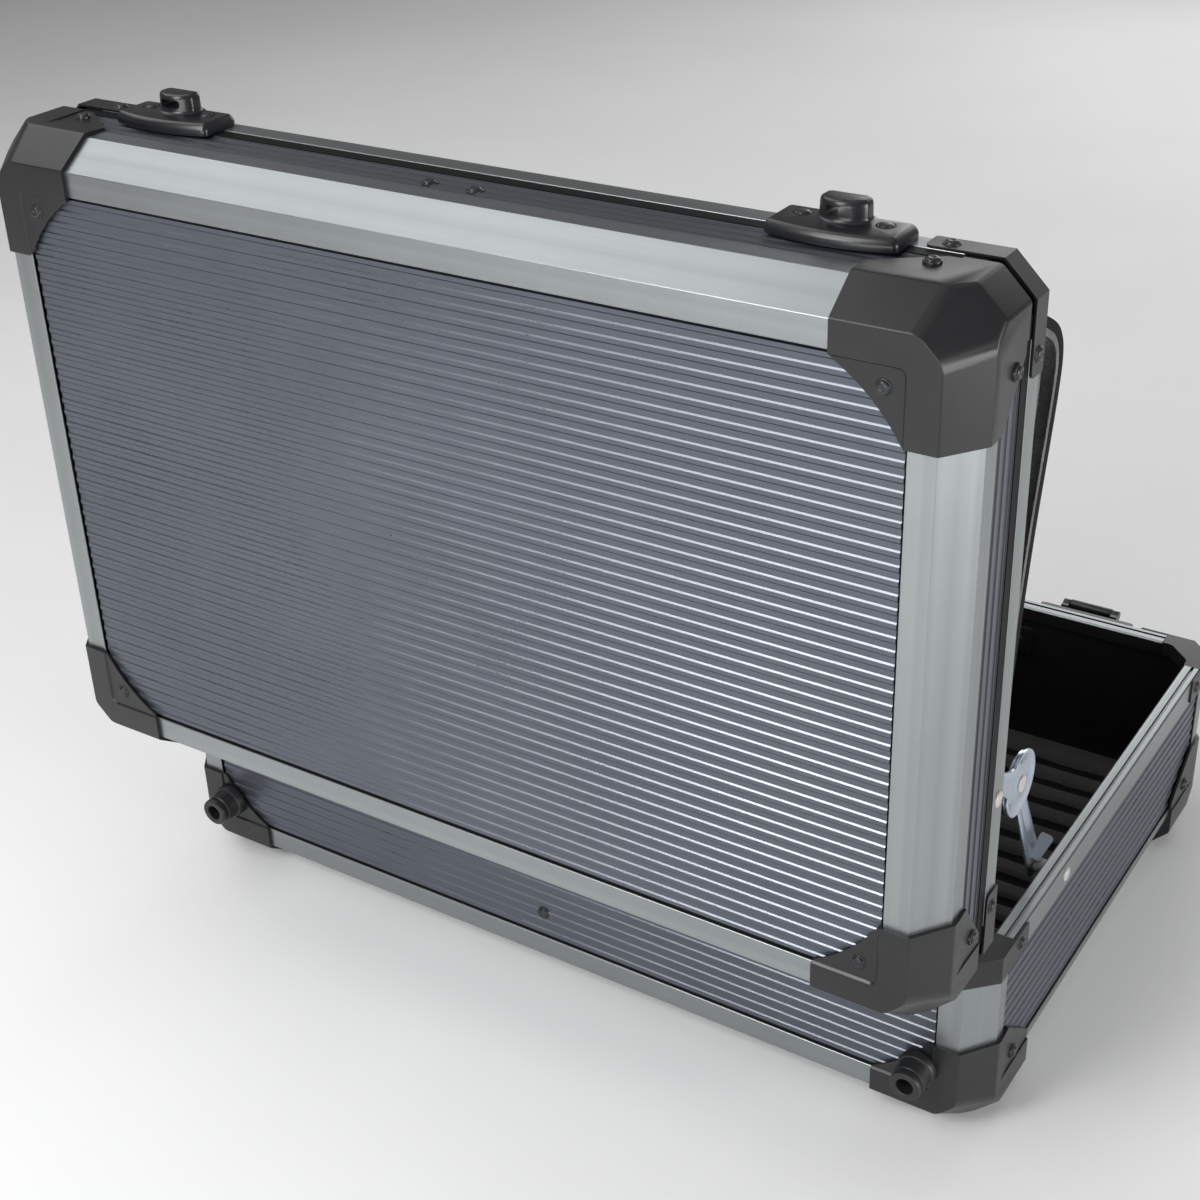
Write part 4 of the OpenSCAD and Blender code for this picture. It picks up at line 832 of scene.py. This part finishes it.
strike = strike_template()
heads = Shape()
for s, side in SIDES:
    m = Matrix(((1, 0, 0, s * STRIKE_X), (0, 0, -1, -HALF_D), (0, 1, 0, STRIKE_Z), (0, 0, 0, 1)))
    o = add_object(f"strike_{side}", placed_mesh(strike, m, True))
    finish_piece(o, "lid", [LATCH], ["strike_plates"], 32)
    for t in (-1, 1):
        at = (s * STRIKE_X + t * STRIKE_RIVET_X, -HALF_D - 4.9, STRIKE_Z + STRIKE_RIVET_W)
        heads.add(*lathe(DOME, 28), 0, aimed(at, (0, -1, 0)))
bpy.data.objects.remove(strike)
piece("strike_rivet_heads", heads, "lid", [RIVET], ["strike_plates"], 40, True)


# Rubber feet: collar, tapered cup and lipped rim with a deep hole

foot = [(0, -0.8), (5.7, -0.8), (5.7, 0.0), (8.8, 0.0), (9.0, 0.25), (9.0, 3.9), (8.7, 4.4),
        (8.1, 4.6), (8.0, 5.2), (7.75, 9.0), (7.6, 10.8), (7.25, 11.2), (7.2, 11.9), (7.4, 12.3),
        (7.4, 14.2), (7.1, 14.9), (6.4, 15.2), (4.7, 15.2), (4.1, 14.8), (4.0, 14.0), (3.9, 6.4),
        (3.2, 6.1), (0, 6.1)]
feet = Shape()
for s in (-1, 1):
    feet.add(*lathe(foot, 40), 0, aimed((s * 201.5, HALF_D + GUARD_T, 34.5), (0, 1, 0)))
piece("rubber_feet", feet, "base", [RUBBER], ["rear_feet"], 35)


# Soft pieces: linings with round corners, ridged foam, and the organiser in the lid

def room_ring(inset, z, radius):
    x, y = HALF_W - inset, HALF_D - inset
    return [(u, v, z) for u, v in rounded([(-x, -y), (x, -y), (x, y), (-x, y)], radius, 8)]


def lining_shape(low, high, place=lambda z: z):
    """Open tray: outer skin with a small round, inner skin with a large one, folded over at
    the edge. Rings are (inset from the case's sides, height, radius of the corners)."""
    steps = 8
    turns = [math.pi / 2 * k / steps for k in range(steps + 1)]
    rings = [(6 + 17 * (1 - math.sin(a)), low + 17 * (1 - math.cos(a)), 17.5) for a in turns]
    rings += [(6, high - 0.6, 17.5), (6.25, high - 0.15, 17.3), (6.75, high, 17),
              (7.25, high - 0.15, 16.6), (7.5, high - 0.6, 16.2)]
    rings += [(7.5 + 16 * (1 - math.sin(a)), low + 1.5 + 16 * (1 - math.cos(a)), 16.2)
              for a in turns[::-1]]
    points, faces = loft([room_ring(*ring) for ring in rings])
    return Shape().add([(x, y, place(z)) for x, y, z in points], faces)


lining = piece("base_lining_skin", lining_shape(6, 90), "base", [LINING],
               ["base_lining"], 50)
lining = piece("lid_lining_skin", lining_shape(6, 55, lambda z: LID_Z1 - z), "lid",
               [LINING], ["lid_lining"], 50, True)

PAD_X, PAD_Y = 222.4, 145  # half the pad's width and depth
PAD_ROUND, PAD_FOOT, PAD_BASE = 16, 7.5, 12.5  # round of its sides, underside, foot of a groove
GROOVE_STEP = 18.2
GROOVES = [(i - 7) * GROOVE_STEP + 3.7 for i in range(15)]
PAD_ENDS = [138, 141.5, 143.5, 144.9]


def pad_side(z):
    """How far the side of the pad stays inside its full width at a height."""
    rise = PAD_ROUND - (z - PAD_FOOT)
    return PAD_ROUND - math.sqrt(max(0.0, PAD_ROUND**2 - rise**2))


def wave(x, y, fx, fy, seed):
    return noise.noise(Vector((x * fx, y * fy, seed)))


def clamped(t):
    return min(1, max(0, t))


def pad_height(x, y):
    """Height of the pad's top: wavy grooves between flat ridges with round edges."""
    sway = 0.5 * wave(x, y, 0.045, 0.02, 3.1) + 0.35 * wave(x, y, 0.16, 0.05, 7.7)
    near = min(abs(y + sway - c) for c in GROOVES)
    t = clamped((near - 2.9) / 2.3)
    t = t * t * (3 - 2 * t)
    crown = 0.35 * (1 - math.cos(clamped((near - 4) / 5.1) * math.pi)) / 2
    return min(16.5, PAD_BASE + 3.6 * t + crown * t + 0.12 * wave(x, y, 0.05, 0.05, 1.3))


def foam_pad():
    nx, per_groove = 90, 14
    rows = [c - GROOVE_STEP / 2 + GROOVE_STEP * k / per_groove
            for c in GROOVES for k in range(per_groove)]
    rows.append(GROOVES[-1] + GROOVE_STEP / 2)
    rows = [-y for y in PAD_ENDS[::-1]] + [y for y in rows if -136 < y < 137.5] + PAD_ENDS
    points = []
    for y in rows:
        for i in range(nx + 1):
            u = -1 + 2 * i / nx
            z = pad_height(u * PAD_X, y)
            end = PAD_Y - pad_side(z)
            points.append((u * (PAD_X - pad_side(z)), max(-end, min(end, y)), z))
    n, last = nx + 1, len(rows) - 1
    faces = [(j * n + i, j * n + i + 1, (j + 1) * n + i + 1, (j + 1) * n + i)
             for j in range(last) for i in range(nx)]
    # rings down the round sides, and the underside
    ring = list(range(n)) + [j * n + nx for j in range(1, last + 1)]
    ring += [last * n + i for i in range(nx - 1, -1, -1)] + [j * n for j in range(last - 1, 0, -1)]
    m = len(ring)
    for z in (11.0, 9.0, PAD_FOOT):
        start = len(points)
        for i in ring:
            x, y, h = points[i]
            share_x = abs(x) / (PAD_X - pad_side(h))
            share_y = abs(y) / (PAD_Y - pad_side(h))
            points.append((math.copysign(min(1, share_x) * (PAD_X - pad_side(z)), x),
                           math.copysign(min(1, share_y) * (PAD_Y - pad_side(z)), y), z))
        faces += [(ring[(k + 1) % m], ring[k], start + k, start + (k + 1) % m) for k in range(m)]
        ring = list(range(start, start + m))
    faces.append(tuple(ring))
    shape = Shape().add(points, faces)
    # painted shade: the faces low in the grooves take the black lining's material
    shape.marks = [int(sum(points[i][2] for i in f) / len(f) < 14.3) for f in faces]
    return shape


# The lining's black on the pad paints the shade in its grooves
pad = piece("ridged_foam", foam_pad(), "base", [FOAM, LINING], ["floor_pad"], 60)


def smooth_path(points, steps=4):
    """Catmull-Rom curve through the points, with straight ends."""
    out = []
    p = [Vector(q) for q in points]
    for i in range(len(p) - 1):
        a, b, c, d = p[max(0, i - 1)], p[i], p[i + 1], p[min(len(p) - 1, i + 2)]
        for k in range(steps):
            t = k / steps
            out.append(0.5 * (2 * b + (c - a) * t + (2 * a - 5 * b + 4 * c - d) * t * t
                              + (3 * b - a - 3 * c + d) * t ** 3))
    out.append(p[-1])
    return out


# Outlines of the organiser from the side: shares of the case's depth, and of BULGE_H below the
# rim. Their ends run up to BULGE_SEAT.
BULGE_H, BULGE_SEAT = 81, 150.8
ORGANISER = [(0.066, 0.02), (0.072, 0.2), (0.115, 0.40), (0.20, 0.56), (0.32, 0.68),
             (0.45, 0.765), (0.55, 0.835), (0.63, 0.905), (0.70, 0.965), (0.745, 0.995),
             (0.775, 1), (0.80, 0.975), (0.825, 0.90), (0.848, 0.76), (0.868, 0.60),
             (0.885, 0.40), (0.893, 0.20), (0.895, 0.02)]
POCKET = [(0.12, 0.02), (0.135, 0.12), (0.20, 0.27), (0.32, 0.43), (0.45, 0.545), (0.55, 0.62),
          (0.63, 0.69), (0.70, 0.75), (0.745, 0.775), (0.785, 0.77), (0.815, 0.70), (0.83, 0.45),
          (0.84, 0.1)]


def bulge_path(shares):
    path = [(HALF_D - a * (2 * HALF_D), LID_Z0 - b * BULGE_H) for a, b in shares]
    return smooth_path([(path[0][0], BULGE_SEAT)] + path + [(path[-1][0], BULGE_SEAT)])


def curved_board(shares, thick, stations, start=0.0, wobble=0.0):
    """Sheet that follows a path. Its outer face lies on the path, or start inside it, and a
    wobble roughens its inner face. stations are (x, share of the thickness)."""
    path = bulge_path(shares)
    n = len(path)
    normals = []
    for i in range(n):
        d = (path[min(n - 1, i + 1)] - path[max(0, i - 1)]).normalized()
        normals.append(Vector((d.y, -d.x)))
    inward = 1 if normals[n // 2].y > 0 else -1
    rings = []
    for x, share in stations:
        outer, inner = [], []
        h = thick / 2 * share
        for i, (q, m) in enumerate(zip(path, normals)):
            mid = q + m * inward * (start + thick / 2)
            rough = wobble * wave(x, i, 0.4, 0.9, 2.2)
            a, b = mid - m * inward * h, mid + m * inward * (h + rough)
            outer.append((x, a.x, a.y))
            inner.append((x, b.x, b.y))
        rings.append(outer + inner[::-1])
    return Shape().add(*loft(rings))


def round_stations(half, soft):
    """Stations across the lid, with the thickness rounded off at both ends."""
    out = [(-half + soft, 0.35)]
    for k in range(1, 5):
        a = math.pi / 2 * k / 4
        out.append((-half + soft * (1 - math.sin(a)), max(0.12, math.sin(a))))
    body = [(-half + soft + (2 * half - 2 * soft) * k / 8, 1.0) for k in range(1, 8)]
    return sorted(out) + body + [(-x, t) for x, t in sorted(out, key=lambda q: -q[0])]


organiser = piece("organiser_cover", curved_board(ORGANISER, 4.1, round_stations(210, 1.6)), "lid",
                  [LEATHERETTE], ["organiser_sheet"], 55, True)
pile = piece("organiser_pile",
             curved_board(ORGANISER, 2.9, round_stations(209.8, 1.2), start=4.1, wobble=0.25),
             "lid", [PILE], (), 55, True)
pocket = piece("organiser_lining", curved_board(POCKET, 3, round_stations(208, 1.2)), "lid",
               [PILE], ["organiser_pocket"], 55, True)


# Lid stays: pressed links with discs, drawn in the plane of the swing (y, z) with x outward

LID_PIN, BASE_PIN, ELBOW = (161.8, 193.0), (65.0, 92.0), (97.7, 156.8)
UPPER_FACE, LOWER_FACE = 217.0, 215.2  # outer faces of the links
LINK_T, EDGE = 1.5, 0.25  # thickness of a link, and the chamfer of its edges
LOWER_INNER = LOWER_FACE - LINK_T
ROOT, TIP = 6.5, 5.0  # half widths of an arm at its rivet and near its disc
# Across an arm: share of its half width, chamfer there, and share of the pressed ridge
ARM = [(-1, EDGE, 0), (-0.92, 0, 0), (-0.45, 0, 0), (0, 0, 1), (0.45, 0, 0), (0.92, 0, 0),
       (1, EDGE, 0)]


def stay_arm(shape, s, outer, start, disc, ridge):
    """Arm from its rivet to its disc at the elbow, with a pressed ridge along its middle."""
    a, b = Vector(start), Vector(ELBOW)
    along = (b - a).normalized()
    across = Vector((-along.y, along.x))
    length = (b - a).length
    rings = []
    count = 18
    for k in range(count + 1):
        t = -ROOT + (length - disc * 0.55 + ROOT) * k / count
        if t < 0:
            w = math.sqrt(max(0.02, ROOT * ROOT - t * t))
        else:
            w = ROOT + (TIP - ROOT) * min(1, t / (length - disc))
            blend = max(0, (t - (length - disc - 7)) / 12)
            w += 3.2 * blend * blend
        lift = ridge * clamped((t - 6) / 6) * clamped((length - disc - 1 - t) / 6)
        ring = [(share, chamfer + lift * h) for share, chamfer, h in ARM]
        ring += [(share, LINK_T - chamfer + lift * h) for share, chamfer, h in ARM[::-1]]
        rings.append([(s * (outer - depth), *(a + along * t + across * (w * share)))
                      for share, depth in ring])
    shape.add(*loft(rings))


def stay_disc(shape, s, outer, r):
    """Disc with a beaded rim and a shallow dish."""
    profile = [(0, -LINK_T), (r - 0.5, -LINK_T), (r, -1.1), (r, -0.5), (r - 0.25, -0.12),
               (r - 0.8, 0), (r - 1.6, -0.02), (r - 2.3, -0.4), (5.6, -0.4), (5.0, -0.25),
               (0, -0.25)]
    shape.add(*lathe(profile, 56), 0, aimed((s * outer, *ELBOW), (s, 0, 0)))


def stay_head(shape, x, outward):
    profile = [(0, -0.4), (3.6, -0.4), (4.0, -0.1), (4.0, 0.4), (3.7, 0.75), (3.0, 0.9),
               (1.4, 0.98), (0, 1.0)]
    shape.add(*lathe(profile, 32), 1, aimed((x, *ELBOW), (outward, 0, 0)))


def stay_tab(shape, s):
    """Ear beside the lower rivet, and the tab that is bent from it."""
    ear = [(4, 2.75), (4, 5.9), (-10.55, 9.53), (-10.55, 7.53), (-6.3, 2.75)]
    shape.add(*prism(ear, 0.2, 1.3, lambda u, v, w: Vector(
        (s * (LOWER_INNER + w), BASE_PIN[0] + u, BASE_PIN[1] + v))))
    turn = (Matrix.Rotation(math.radians(-14), 3, "X"), Matrix.Rotation(math.radians(-32), 3, "Y"))
    tab = rounded([(0, 0), (0, -15), (-6, -16.5), (-4.5, 0)], [0, 0.8, 1.5, 1.2], 4)
    rings = []
    for by, h in ((EDGE, -LINK_T), (0, EDGE - LINK_T), (0, -EDGE), (EDGE, 0)):
        ring = [turn[0] @ (turn[1] @ Vector((u, v, h))) for u, v in offset(tab, by)]
        rings.append([(s * (LOWER_INNER + 0.2 - q.x), 69 + q.y, 98.9 + q.z) for q in ring])
    shape.add(*loft(rings))


for s, side in SIDES:
    upper = Shape()
    stay_arm(upper, s, UPPER_FACE, LID_PIN, 15.5, 0.0)
    stay_disc(upper, s, UPPER_FACE, 15.5)
    stay_head(upper, s * (UPPER_FACE - 0.2), s)
    lower = Shape()
    stay_arm(lower, s, LOWER_FACE, BASE_PIN, 14.5, 0.9)
    stay_disc(lower, s, LOWER_FACE, 14.5)
    stay_head(lower, s * LOWER_INNER, -s)
    stay_tab(lower, s)
    for part, link_shape in (("upper", upper), ("lower", lower)):
        piece(f"stay_link_{part}_{side}", link_shape, f"stay_{part}_{side}",
              [ZINC, HEAD], [f"stay_{part}_{side}"], 35)


# Small rivets of the hinge

for body, z in (("base", 84), ("lid", 118)):
    small = Shape()
    for k in range(10):
        small.add(*lathe(SMALL, 20), 0, aimed((-171 + 38 * k, HALF_D + 1.2, z), (0, 1, 0)))
    piece(f"hinge_{body}_rivets", small, body, [HINGE], (), 40, body == "lid")


# Dressed solids, with the width of their softened edges

EDGES = {
    "base_floor_panel": 0.3, "base_corner_posts": 0.35, "hinge_base_leaf": 0.2,
    "hinge_lid_leaf": 0.2, "hinge_pin": 0.15, "latch_mounts": 0.5, "handle_mounts": 0.5,
    "backing_plates": 0.3, "handle_grip": 1.0, "latch_hasp_left": 0.6, "latch_hasp_right": 0.6,
    "latch_slide_left": 0.5, "latch_slide_right": 0.5, "lid_seal": 0.1,
}
for name in nodes:
    if "_edge_" in name:
        dress(name, 0.35, 3)
    elif "_rim_" in name and "braces" not in name:
        dress(name, 0.25, 2)
    else:
        dress(name, EDGES.get(name, 0.0), 3)
# The base's lining is turned up over the inner faces of the rim, whose centres lie near LINED_Z
LINED_Z, LINED_REACH = 94, 3.8
for side, inward in (("front", (0, 1, 0)), ("back", (0, -1, 0)), ("left", (1, 0, 0)),
                     ("right", (-1, 0, 0))):
    o = nodes[f"base_rim_{side}"]
    o.data.materials.append(LINING)
    turned = o.matrix_world.to_3x3()
    for face in o.data.polygons:
        z = (o.matrix_world @ face.center).z / MM
        if (turned @ face.normal).dot(Vector(inward)) > 0.9 and abs(z - LINED_Z) < LINED_REACH:
            face.material_index = 1


# Stage, light and camera, in metres

FLOOR_HALF = 12
floor_z = cad_low.z - 0.0002
floor_mesh = bpy.data.meshes.new("floor")
floor_mesh.from_pydata([(x * FLOOR_HALF, y * FLOOR_HALF, floor_z)
                        for x, y in ((-1, -1), (1, -1), (1, 1), (-1, 1))], [], [(0, 1, 2, 3)])
floor = add_object("floor", floor_mesh)
m, tree, bsdf = material("pale_floor")
link(tree, ramp(tree, noise_value(tree, 3, 3), [(0.3, (0.86, 0.86, 0.86)), (0.7, (0.9, 0.9, 0.9))]),
     bsdf.inputs["Base Color"])
bsdf.inputs["Roughness"].default_value = 0.8
floor.data.materials.append(m)

world = bpy.data.worlds.new("studio")
scene.world = world
world.use_nodes = True
world.node_tree.nodes["Background"].inputs["Color"].default_value = (1, 1, 1, 1)
world.node_tree.nodes["Background"].inputs["Strength"].default_value = 0.16


def area_light(name, at, target, size, power):
    data = bpy.data.lights.new(name, "AREA")
    data.shape = "RECTANGLE"
    data.size, data.size_y = size
    data.energy = power
    o = bpy.data.objects.new(name, data)
    scene.collection.objects.link(o)
    o.location = at
    o.rotation_mode = "QUATERNION"
    o.rotation_quaternion = (Vector(target) - Vector(at)).to_track_quat("-Z", "Y")


for light in (
    ("top", (0, 0.1, 1.8), (0, 0, 0.2), (1.4, 1.4), 2.8),
    ("top_left", (1.0, 0.1, 1.5), (0, 0, 0.2), (1.2, 1.2), 7.6),
    ("behind_camera", (-0.3, 2.3, 0.4), (0, 0, 0.2), (1.4, 0.7), 16),
    ("above_camera", (0.38, 1.4, 1.6), (-0.1, 0.15, 0.25), (0.8, 0.8), 13),
    ("right", (-2.2, 0.2, 0.45), (0, 0, 0.2), (1.2, 0.8), 31),
    ("far_side", (0, -2.1, 1.0), (0, 0, 0.2), (1.6, 1.2), 13),
    ("floor_pool", (0.24, 1.15, 0.85), (0.22, 1.0, 0), (0.4, 0.4), 5.5),
):
    area_light(*light)

# The photograph's view: angles in radians, place, and focal length in the image's pixels
YAW, PITCH_DOWN, ROLL = 0.5887, 0.5151, -0.0373
CAMERA_AT = (-0.443734, 0.755720, 0.635505)
FOCAL_PX, IMAGE_PX, SENSOR = 1926.82, 1200, 36


def make_camera():
    forward = Vector((math.sin(YAW) * math.cos(PITCH_DOWN), -math.cos(YAW) * math.cos(PITCH_DOWN),
                      -math.sin(PITCH_DOWN)))
    right = forward.cross(Vector((0, 0, 1))).normalized()
    up = right.cross(forward)
    data = bpy.data.cameras.new("photo_view")
    data.sensor_width = SENSOR
    data.lens = FOCAL_PX * SENSOR / IMAGE_PX
    data.clip_start, data.clip_end = 0.05, 60
    camera = bpy.data.objects.new("photo_view", data)
    scene.collection.objects.link(camera)
    camera.matrix_world = (Matrix.Translation(CAMERA_AT) @ Matrix((
        right * math.cos(ROLL) + up * math.sin(ROLL),
        up * math.cos(ROLL) - right * math.sin(ROLL), -forward)).transposed().to_4x4())
    scene.camera = camera


make_camera()
scene.view_settings.view_transform = "Standard"
